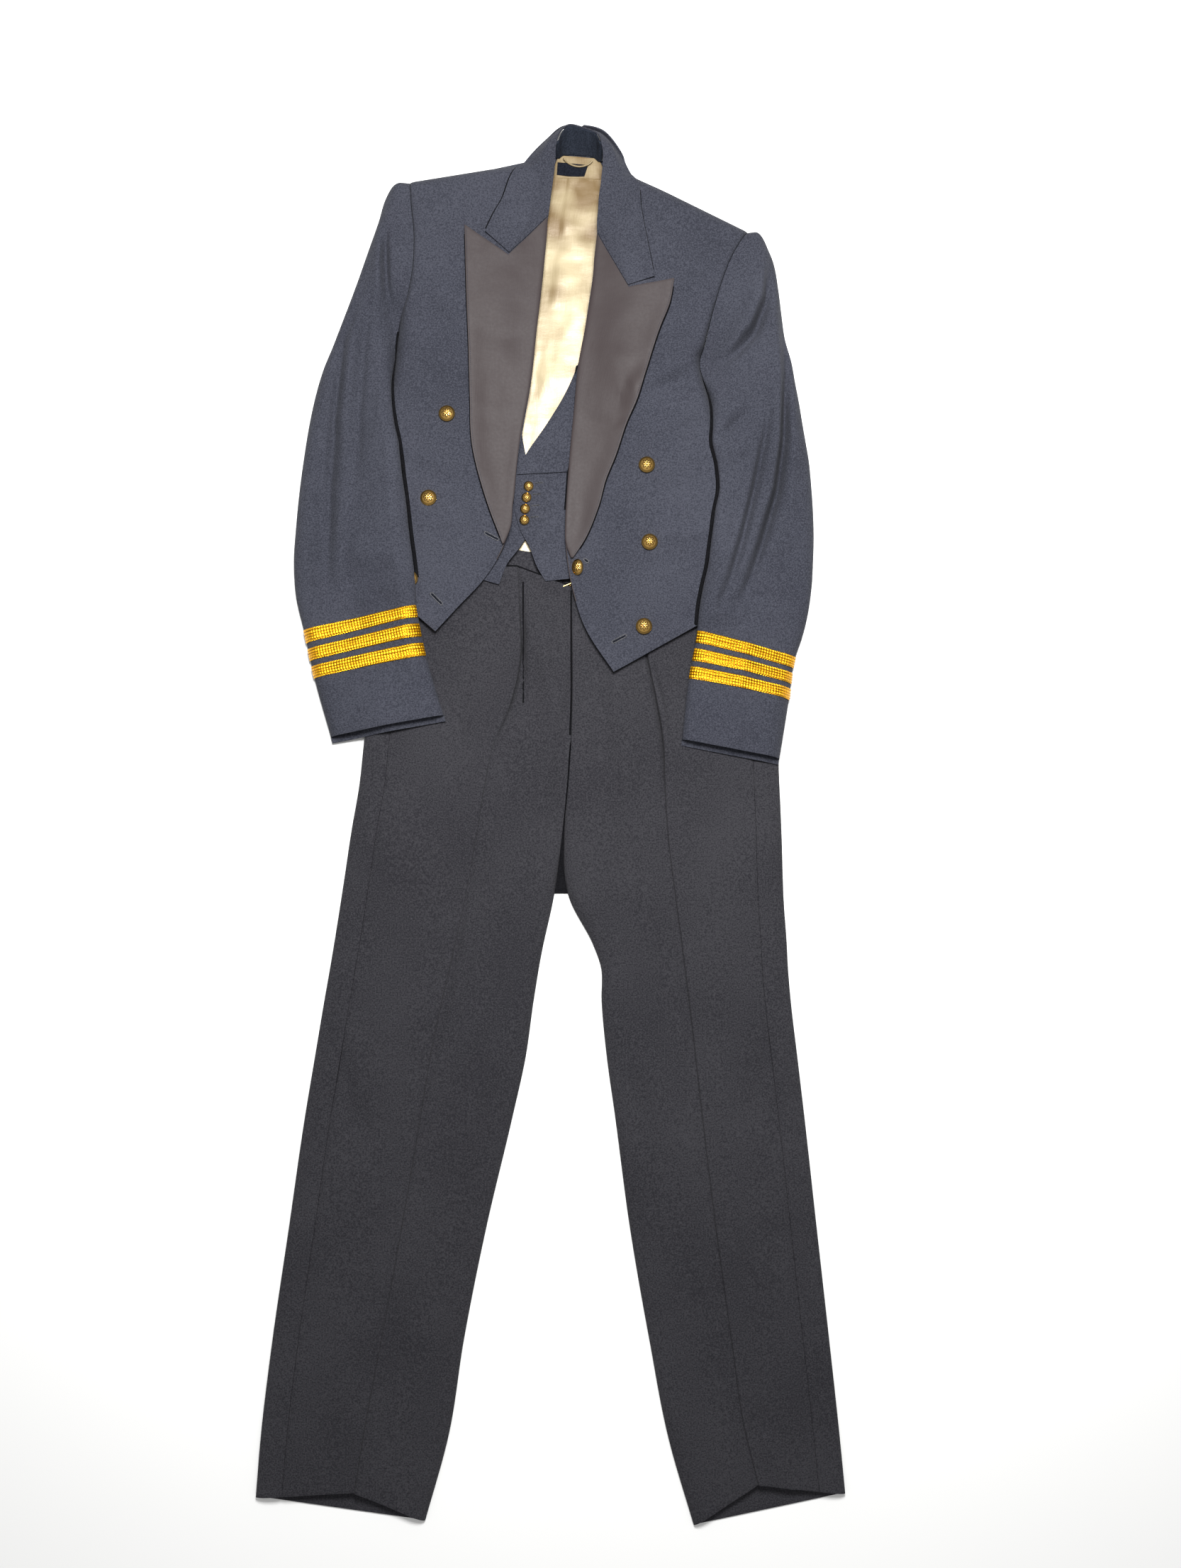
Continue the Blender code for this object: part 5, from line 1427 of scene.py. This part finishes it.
def resample(grid, at, count):
    # rows of the grid at the shares in at, each with count points evenly spaced
    v, wanted = at
    rowsOut = np.stack([
        np.stack([np.interp(wanted, v, grid[:, j, k]) for j in range(grid.shape[1])], axis=1)
        for k in range(3)
    ], axis=-1)
    out = np.empty((len(wanted), count, 3))
    for i, row in enumerate(rowsOut):
        steps = np.linalg.norm(np.diff(row, axis=0), axis=1)
        along = np.concatenate([[0], np.cumsum(steps)])
        for k in range(3):
            out[i, :, k] = np.interp(np.linspace(0, along[-1], count), along, row[:, k])
    return out


def buildLace():
    look = cuffLace
    shares = np.linspace(0, 1, look["across"])
    cords = np.abs(np.sin(math.pi * look["cords"] * shares))[:, None] ** 0.7
    for side, (v, rows, grid) in sleeveTops.items():
        high, low = rows.at[look["topRow"]], rows.at[look["lowRow"]]
        for number, (first, last) in enumerate(look["shares"], 1):
            wanted = high + (low - high) * (first + (last - first) * shares)
            band = resample(grid[:, 2:-2], (v, wanted), look["along"])
            out = normals(band)
            along = np.linalg.norm(band[-1, -1] - band[-1, 0]) * np.linspace(0, 1, look["along"])
            raised = band + out * (stack["seam"] + look["thick"] + look["cordHeight"] * cords)[..., None]
            scallop = look["picotReach"] * np.abs(np.sin(math.pi * along / look["picot"]))
            down = (band[-1] - band[0]) / np.linalg.norm(band[-1] - band[0], axis=1)[:, None]
            for row, sign in ((0, -1), (1, -0.5), (-2, 0.5), (-1, 1)):
                raised[row] += down * (sign * scallop)[:, None]
            clothPiece(f"cuff_lace_{side}_{number}", raised, look["thick"], "goldLace")
    print("cuff lace made")


# Buttons, buttonholes and small trim

buttonLook = {
    "rim": 0.92,           # share of the radius inside the corded rim
    "rimCords": 40,
    "rimDepth": 0.014,     # depths are shares of the radius
    "petals": 8,
    "petalReach": 0.62,
    "petalDepth": 0.06,
    "small": 0.88,         # the waistcoat's buttons, as a share of the frame's
    "turned": 0.72,        # the link button is turned away, so it looks narrower
    "bossReach": 0.16,
    "bossDepth": 0.09,
    "groove": 0.02,        # inside the corded rim
    "skirt": 1.0,          # height of the dome's edge, in mm
    "underEdge": 0.7,
    "foot": 0.85,          # share of the radius that stands on the cloth
    "around": 96,
    "rings": 26,
}


def buildButton(node):
    look = buttonLook
    low, high = boxOf(node)
    x, y = (low[:2] + high[:2]) / 2
    radius = (high[0] - low[0]) / 2 * (look["small"] if "waistcoat" in node else 1)
    dome = high[2] - low[2]
    angle = np.linspace(0, 2 * math.pi, look["around"], endpoint=False)[None, :]
    share = np.linspace(0, 1, look["rings"] + 1)[1:, None]
    lift = look["skirt"] + (dome - look["skirt"]) * np.sqrt(np.clip(1 - (share / 1.01) ** 2, 0, 1))
    petal = np.abs(np.cos(look["petals"] / 2 * angle)) ** 0.8
    inPetals = step(look["petalReach"] + 0.04, look["petalReach"] - 0.05, share) * step(0.12, 0.24, share)
    reach = step(0.0, 0.12, look["petalReach"] * (0.55 + 0.45 * petal) - share)
    boss = look["bossDepth"] * step(look["bossReach"], 0.05, share)
    relief = look["petalDepth"] * inPetals * petal * reach + boss
    onRim = step(look["rim"] - 0.02, look["rim"] + 0.03, share)
    relief = relief + onRim * look["rimDepth"] * (1 + np.cos(look["rimCords"] * angle + 14 * share))
    relief = relief - look["groove"] * np.exp(-((share - look["rim"] + 0.05) / 0.03) ** 2)
    z = low[2] + lift + relief * radius
    narrow = look["turned"] if node == "button_link" else 1.0
    px, py = x + narrow * radius * share * np.cos(angle), y + radius * share * np.sin(angle)
    z = z + (1 - narrow) * (px - x)
    ring = np.stack([px, py, z], axis=-1)
    footX = x + narrow * radius * look["foot"] * np.cos(angle[0])
    footY = y + radius * look["foot"] * np.sin(angle[0])
    foot = np.stack([footX, footY, np.full(look["around"], low[2])], axis=-1)[None]
    edge = ring[-1:].copy()
    edge[..., 2] -= look["underEdge"]
    rings = np.concatenate([ring, edge, foot])
    points = [(x, y, low[2] + dome + 0.05 * radius)] + rings.reshape(-1, 3).tolist() + [(x, y, low[2])]
    count = look["around"]
    faces = [(0, 1 + k, 1 + (k + 1) % count) for k in range(count)]
    for r in range(len(rings) - 1):
        for k in range(count):
            a, b = 1 + r * count, 1 + (r + 1) * count
            faces.append((a + k, b + k, b + (k + 1) % count, a + (k + 1) % count))
    a = 1 + (len(rings) - 1) * count
    faces += [(a + (k + 1) % count, a + k, len(points) - 1) for k in range(count)]
    meshPiece(f"{node}Dome", points, faces, "brass", [node])


holes = {
    "length": 19.0,
    "width": 3.2,
    "thread": 0.5,
    "pitch": 0.75,         # one purl stitch
    "purl": 0.18,          # how far every other stitch stands out
    "slit": 0.24,          # radius of the dark cord in the slit, which is painted shade, as a share of the width
    "linkLength": 7.0,
    "small": {"length": 9.5, "width": 1.2},
    "waistcoat": (
        ("small_1", (-15, 379), 4, "waistcoat_front_right"),
        ("small_2", (-17.5, 365.4), 4, "waistcoat_front_right"),
        ("small_3", (-19, 352), 4, "waistcoat_front_right"),
        ("small_4", (-20, 338.5), 4, "waistcoat_front_right"),
    ),
    "jacket": (
        ("left_upper", (-69.5, 314.1), -28, "jacket_front_left"),
        ("left_lower", (-133.2, 240.5), -45, "jacket_front_left"),
        ("right_lower", (78.5, 193.7), 27.5, "jacket_front_right"),
        ("link", (40.3, 285.3), -35, "jacket_front_right"),
    ),
}


def onSurface(tree, route, above):
    return [(x, y, heightOn([tree], x, y) + above) for x, y in route]


def roundSlit(s, half, radius):
    # the point at a distance s along an outline with straight sides and round ends
    bend = math.pi * radius
    if s < 2 * half:
        return -half + s, radius
    if s < 2 * half + bend:
        a = math.pi / 2 - (s - 2 * half) / radius
        return half + radius * math.cos(a), radius * math.sin(a)
    if s < 4 * half + bend:
        return half - (s - 2 * half - bend), -radius
    a = -math.pi / 2 - (s - 4 * half - bend) / radius
    return -half + radius * math.cos(a), radius * math.sin(a)


def buildHole(name, centre, lean, carrier, length, width):
    # a worked buttonhole: purl stitches round a slit, with a dark cord in the slit as painted shade
    look = holes
    tree = treeOf(carrier)
    lean = math.radians(lean)
    along = Vector((math.cos(lean), math.sin(lean)))
    side = Vector((-along.y, along.x))
    half = length / 2 - width / 2
    thread = look["thread"] * min(1, width / 2.4)
    around = 4 * half + math.pi * width
    count = int(around / look["pitch"])
    route = []
    for k in range(count):
        u, w = roundSlit(k / count * around, half, width / 2)
        wave = look["purl"] * (1 if k % 2 else -1)
        w += wave * (1 if w > 0 else -1)
        spot = Vector(centre) + along * u + side * w
        route.append((spot.x, spot.y))
    tubePiece(f"buttonhole_{name}", [onSurface(tree, route, 0.25)], thread, "thread", cyclic=True)
    # a dark cord along the slit paints the shade in the opening
    slit = [Vector(centre) + along * u for u in np.linspace(-half, half, 8)]
    route = onSurface(tree, [(p.x, p.y) for p in slit], 0.1)
    tubePiece(f"buttonhole_slit_shade_{name}", [route], width * look["slit"], "label")


stitchLook = {
    "pitch": 2.6,
    "share": 0.7,          # of the pitch, that a stitch covers
    "thick": 0.22,
    "above": 0.02,
    "waistInset": 8,       # from the waist and from the hem to their rows of stitches
    "hemInset": 24,
}


def stitchRow(name, route, carrier, finish="jacketWool"):
    # a row of small stitches along a route over a finished piece
    look = stitchLook
    tree = treeOf(carrier)
    route = np.array(route, float)
    steps = np.linalg.norm(np.diff(route, axis=0), axis=1)
    along = np.concatenate([[0], np.cumsum(steps)])
    points, faces = [], []
    for start in np.arange(0, along[-1] - look["pitch"], look["pitch"]):
        ends = [start, start + look["pitch"] * look["share"]]
        spots = np.array([[np.interp(e, along, route[:, 0]), np.interp(e, along, route[:, 1])] for e in ends])
        heights = [heightOn([tree], *spot) for spot in spots]
        if min(heights) <= 0:
            continue
        course = (spots[1] - spots[0]) / np.linalg.norm(spots[1] - spots[0])
        side = np.array([-course[1], course[0]]) * look["thick"]
        base = len(points)
        for spot, height in zip(spots, heights):
            for w, h in ((-1, -0.3), (-0.6, 0.7), (0.6, 0.7), (1, -0.3)):
                points.append((*(spot + side * w), height + look["above"] + h * look["thick"]))
        for k in range(3):
            faces.append((base + k, base + k + 1, base + k + 5, base + k + 4))
        faces += [(base, base + 3, base + 2, base + 1), (base + 4, base + 5, base + 6, base + 7)]
    meshPiece(name, points, faces, finish, smoothAll=False)


def edgeRoute(rows, name, other, inset, v):
    # a line beside one side of a panel, inset toward the other side
    a, b = rows.point(name, v), rows.point(other, v)
    return a + (b - a) / np.linalg.norm(b - a, axis=1)[:, None] * inset


def buildStitching():
    look = stitchLook
    for side in ("left", "right"):
        rows = PanelRows(legColumns, trousers[side]["table"])
        ends = {"waist": look["waistInset"] / rows.length, "hem": 1 - look["hemInset"] / rows.length}
        for end, v in ends.items():
            outer, crease, inner = (rows.point(n, np.array([v]))[0] for n in ("outer", "crease", "inner"))
            start = outer + (crease - outer) * 0.2
            first = start + (crease - start) * np.linspace(0, 1, 20)[:, None]
            second = crease + (inner - crease) * np.linspace(0, 0.97, 20)[1:, None]
            stitchRow(f"trouser_{end}_stitch_{side}", np.concatenate([first, second]),
                      f"trouser_front_{side}", "trouserWool")
        rows = PanelRows(lapelColumns, lapels[side]["table"])
        v = np.linspace(0.01, 0.99, 80)
        stitchRow(f"lapel_edge_stitch_{side}", edgeRoute(rows, "edge", "roll", 2.0, v), f"lapel_{side}")
        rows = PanelRows(frontColumns, jacketFronts[side]["table"])
        v = np.linspace(0.62, 0.99, 80)
        stitchRow(f"front_edge_stitch_{side}", edgeRoute(rows, "edge", "side", 3.0, v),
                  f"jacket_front_{side}")
    rows = PanelRows(collarColumns, collar)
    v = np.linspace(0.01, 0.99, 160)
    stitchRow("collar_edge_stitch", edgeRoute(rows, "edge", "mid", 2.0, v), "collar")
    rows = PanelRows(waistcoatCollarColumns, waistcoatCollar)
    stitchRow("waistcoat_collar_stitch", edgeRoute(rows, "roll", "edge", 2.0, np.linspace(0.02, 0.98, 60)),
              "waistcoat_collar")
    rows = PanelRows(waistcoatColumns, waistcoatRight)
    stitchRow("waistcoat_edge_stitch", edgeRoute(rows, "edge", "side", 2.0, np.linspace(0.62, 0.99, 60)),
              "waistcoat_front_right")
    print("stitching made")


loopLook = {
    "ends": ((13.5, 774.5), (47, 771.5)),
    "sag": 9.0,
    "strand": 0.744,       # radius of each of the two strands
    "twist": 60,           # radians of the strands' twist from end to end
    "twistWide": 0.45,
    "twistHigh": 0.35,
}


def buildLoop():
    look = loopLook
    low, high = boxOf("hanger_loop")
    z = (low[2] + high[2]) / 2
    (x0, y0), (x1, y1) = look["ends"]
    strands = []
    for strand in range(2):
        route = []
        for share in np.linspace(0, 1, 90):
            sag = look["sag"] * math.sin(math.pi * share) ** 0.6
            turn = share * look["twist"] + strand * math.pi
            x = x0 + (x1 - x0) * share + look["twistWide"] * math.cos(turn)
            y = y0 + (y1 - y0) * share - sag + look["twistWide"] * math.sin(turn)
            route.append((x, y, z + look["twistHigh"] * math.cos(turn)))
        strands.append(route)
    tubePiece("hanger_loopCord", strands, look["strand"], "goldSatin", ["hanger_loop"])


labelLook = {
    "top": ((6, 770), (42.5, 766.5)),
    "low": ((5, 754.5), (20, 752.5), (38, 752.5)),
    "thick": 0.6,
    "pucker": 0.25,
    "rows": 10,
    "columns": 14,
    "cut": (0.0195, 0.038),
}


def buildLabel():
    look = labelLook
    first, last = np.array(look["top"], float)
    topEdge = first + (last - first) * np.linspace(0, 1, look["columns"])[:, None]
    lowLine = np.array(look["low"], float)
    at = np.concatenate([[0], np.cumsum(np.linalg.norm(np.diff(lowLine, axis=0), axis=1))])
    where = np.linspace(0, at[-1], look["columns"])
    lowEdge = np.stack([np.interp(where, at, lowLine[:, 0]), np.interp(where, at, lowLine[:, 1])], axis=-1)
    plan = even(topEdge, lowEdge, look["rows"])
    low, high = boxOf("neck_label")
    z = high[2] + look["pucker"] * ripple(plan[..., 0], plan[..., 1], 9, 3.3)
    clothPiece("neck_label", np.dstack([plan, z]), look["thick"], "label")


hookLook = {
    "plate": (-1, -0.4, 0.2, 0.9),      # places are shares of the box of the frame's hook
    "plateLean": 0.22,
    "plateRound": 1.2,
    "plateRise": 0.4,
    "wire": ((-0.1, -0.34), (0.3, -0.3), (0.42, 0), (0.34, 0.3)),
    "wireRound": 0.4,
    "wireDrop": 0.3,
}


def buildHook():
    look = hookLook
    low, high = (corner + np.array([*middle, 0]) for corner in boxOf("trouser_hook"))
    x, y = (low[:2] + high[:2]) / 2
    wide, deep = high[:2] - low[:2]
    z = (low[2] + high[2]) / 2
    lean, high = look["plateLean"], z + look["plateRise"]
    plate = [(x + wide * 0.5 * a, y + deep * lean * a, high) for a in look["plate"]]
    tubePiece("trouser_hookPlate", [plate], look["plateRound"], "brass", ["trouser_hook"])
    wire = [(x + wide * a, y + deep * b, z - look["wireDrop"]) for a, b in look["wire"]]
    tubePiece("trouser_hookWire", [wire], look["wireRound"], "brass")


# Dark cords that stand for the shade in the corners under free edges: the panel and its side,
# its edge and the line across from it, the stretch of the edge, how far outside it the cord runs,
# what it lies on, and its radius
shadeCords = (
    ("collar", "left", "edge", "mid", (0.01, 0.24), 1.1, "jacket_front_left", 1.3),
    ("collar", "right", "edge", "mid", (0.76, 0.98), 0.6, "jacket_front_right", 0.75),
    ("lapel", "left", "edge", "roll", (0.02, 0.97), 0.6, "jacket_front_left", 0.75),
    ("lapel", "right", "edge", "roll", (0.02, 0.97), 0.6, "jacket_front_right", 0.75),
    ("front", "right", "edge", "side", (0.34, 0.70), 1.4, "waistcoat_front_right", 1.5),
    ("sleeve", "left", "inner", "outer", (0.27, 0.74), 1.9, "jacket_front_left", 2.3),
    ("sleeve", "right", "inner", "outer", (0.30, 0.80), 1.9, "jacket_front_right", 2.3),
    ("leg", "right", "inner", "crease", (0.005, 0.172), 1.7, "trouser_front_left", 1.5),
)
waistShade = {
    "route": ((-52, 281), (-40, 280.5), (-17, 271.8), (6, 263.2), (24, 256.5)),
    "round": 1.1,
    "above": 0.5,
    "least": 11.0,         # it lies no lower than this
}
pleatShade = {
    "route": ((-33.2, 262), (-33.1, 225), (-33, 190), (-32.8, 155), (-32.5, 120)),
    "round": 0.9,
}
cordAbove = 0.1            # how far a cord's middle is above what it lies on


def buildShadeCords():
    panels = {"collar": (collarColumns, {"table": collar}), "lapel": (lapelColumns, lapels),
              "front": (frontColumns, jacketFronts), "sleeve": (sleeveColumns, sleeves),
              "leg": (legColumns, trousers)}
    for name, side, edge, other, span, outward, carrier, thick in shadeCords:
        columns, owner = panels[name]
        rows = PanelRows(columns, owner.get(side, owner)["table"])
        route = edgeRoute(rows, edge, other, -outward, np.linspace(*span, 60))
        cord = [(x, y, max(z, thick)) for x, y, z in onSurface(treeOf(carrier), route, cordAbove)]
        tubePiece(f"{name}_{edge}_cord_{side}_{carrier}", [cord], thick, "shadeWool")
    look = waistShade
    cord = onSurface(treeOf("trouser_back_left"), look["route"], look["above"])
    cord = [(x, y, max(z, look["least"])) for x, y, z in cord]
    tubePiece("trouser_waist_cord", [cord], look["round"], "shadeWool")
    cord = onSurface(treeOf("trouser_front_left"), pleatShade["route"], cordAbove)
    tubePiece("trouser_pleat_cord", [cord], pleatShade["round"], "shadeWool")


seatLook = {
    "span": (112, -100),   # the seat's cloth between the legs, coloured near black as painted shade, from and to
    "reach": 5.0,
    "high": 2.0,
    "thick": 1.2,
    "cut": (0.028, 0.17),
}


def buildSeat():
    look = seatLook
    y = np.linspace(*look["span"], 30)
    ends = []
    for side, sign in (("left", -1), ("right", 1)):
        line = PanelRows(legColumns, trousers[side]["table"]).point("inner", np.linspace(0, 0.5, 300))
        x = np.interp(-y, -line[:, 1], line[:, 0]) + sign * look["reach"]
        ends.append(np.column_stack([x, y]))
    plan = even(*ends, 7)
    # the seat's cloth is real, but its near-black colour is painted shade between the legs
    seat = np.dstack([plan, np.full(plan.shape[:2], look["high"])])
    clothPiece("trouser_seat_shade", seat, look["thick"], "shadeWool",
               stands=False)


pipingLook = {
    "left": (0.66, 0.86),  # the stretch of each front's edge
    "right": (0.70, 0.88),
    "inset": 0.5,
    "above": 0.15,
    "round": 0.55,
}


def buildPiping():
    look = pipingLook
    for side in ("left", "right"):
        rows = PanelRows(frontColumns, jacketFronts[side]["table"])
        route = edgeRoute(rows, "edge", "side", look["inset"], np.linspace(*look[side], 40))
        cord = onSurface(treeOf(f"jacket_front_{side}"), route, look["above"])
        tubePiece(f"front_piping_{side}", [cord], look["round"], "lapelSatin")


def dressFrameNodes():
    # the flat back stays as the frame made it, with the cloth's own material
    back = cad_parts["jacket_back"]
    back.data.materials.clear()
    back.data.materials.append(materials["jacketWool"])


# The suit, from the lowest layer up

dressFrameNodes()
buildFronts()
buildLining()
buildWaistcoatBack()
buildWaistcoatFronts()
buildWaistcoatCollar()
buildTrousers()
buildLapels()
buildCollar()
buildStand()
buildSleeves()
buildLace()
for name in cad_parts:
    if "button" in name:
        buildButton(name)
print("buttons made")
for name, centre, lean, carrier in holes["jacket"]:
    length = holes["linkLength"] if name == "link" else holes["length"]
    buildHole(name, centre, lean, carrier, length, holes["width"])
for name, centre, lean, carrier in holes["waistcoat"]:
    buildHole(name, centre, lean, carrier, holes["small"]["length"], holes["small"]["width"])
buildStitching()
buildLoop()
buildLabel()
buildHook()
buildShadeCords()
buildSeat()
buildPiping()
print("trim made")


# Floor, light and camera

studio = {
    "floorColour": (0.92, 0.92, 0.91),
    "floorGrain": 0.985,   # the darker tone's share of the colour
    "floorSize": 24,
    "floorDrop": 0.0002,   # keeps the floor clear of what lies on it
    "skyTop": 0.72,
    "skySide": 0.10,
    "skyFall": 1.6,        # how fast the sky darkens toward its sides
    "lights": {
        "key": {"power": 39.0, "place": (0.12, 0.62, 1.45), "size": 0.5},
        "fill": {"power": 4.0, "place": (0.05, 1.25, 1.75), "size": 0.4},
    },
    "cameraHeight": 1.75,
    "cameraTilt": 4.0,
    "cameraAim": (0.04479, 0.02379, 0.0),
    "halfFrame": 1106 / 2126,      # half the photograph's height over its focal length, in pixels
}


def buildFloor():
    look = studio
    bpy.ops.mesh.primitive_plane_add(size=look["floorSize"], location=(0, 0, -look["floorDrop"]))
    floor = bpy.context.object
    floor.name = "studioFloor"
    tree, shader, coords = newMaterial("studioFloor")
    grain = noiseNode(tree, coords.outputs["Object"], 3.0, 2.0)
    pale = look["floorColour"]
    paint(tree, shader, grain, tuple(look["floorGrain"] * c for c in pale), pale)
    shader.inputs["Roughness"].default_value = 0.9
    floor.data.materials.append(materials["studioFloor"])


def buildSky():
    look = studio
    world = bpy.data.worlds.new("studioSky")
    world.use_nodes = True
    sky = world.node_tree
    sky.nodes["Background"].inputs["Color"].default_value = (1, 1, 1, 1)
    up = axes(sky, sky.nodes.new("ShaderNodeTexCoord").outputs["Generated"])["Z"]
    high = mathNode(sky, "POWER", mathNode(sky, "MAXIMUM", up, 0.0), look["skyFall"])
    bright = times(sky, high, look["skyTop"] - look["skySide"])
    bright = plus(sky, bright, look["skySide"])
    sky.links.new(bright, sky.nodes["Background"].inputs["Strength"])
    bpy.context.scene.world = world


def buildLights():
    for name, look in studio["lights"].items():
        lamp = bpy.data.lights.new(name, "AREA")
        lamp.energy = look["power"]
        lamp.size = look["size"]
        light = bpy.data.objects.new(name, lamp)
        bpy.context.scene.collection.objects.link(light)
        light.location = look["place"]
        light.rotation_euler = (-Vector(look["place"])).to_track_quat("-Z", "Y").to_euler()


def buildCamera():
    look = studio
    scene = bpy.context.scene
    tilt = math.radians(look["cameraTilt"])
    lens = bpy.data.cameras.new("photoCamera")
    lens.sensor_fit = "VERTICAL"
    lens.angle = 2 * math.atan(look["halfFrame"])
    camera = bpy.data.objects.new("photoCamera", lens)
    scene.collection.objects.link(camera)
    back = Vector((0, -math.sin(tilt), math.cos(tilt))) * look["cameraHeight"]
    camera.location = Vector(look["cameraAim"]) + back
    camera.rotation_euler = (tilt, 0, 0)
    scene.camera = camera
    scene.view_settings.view_transform = "Standard"


buildFloor()
buildSky()
buildLights()
buildCamera()
print("stage made")
print("suit dressed")
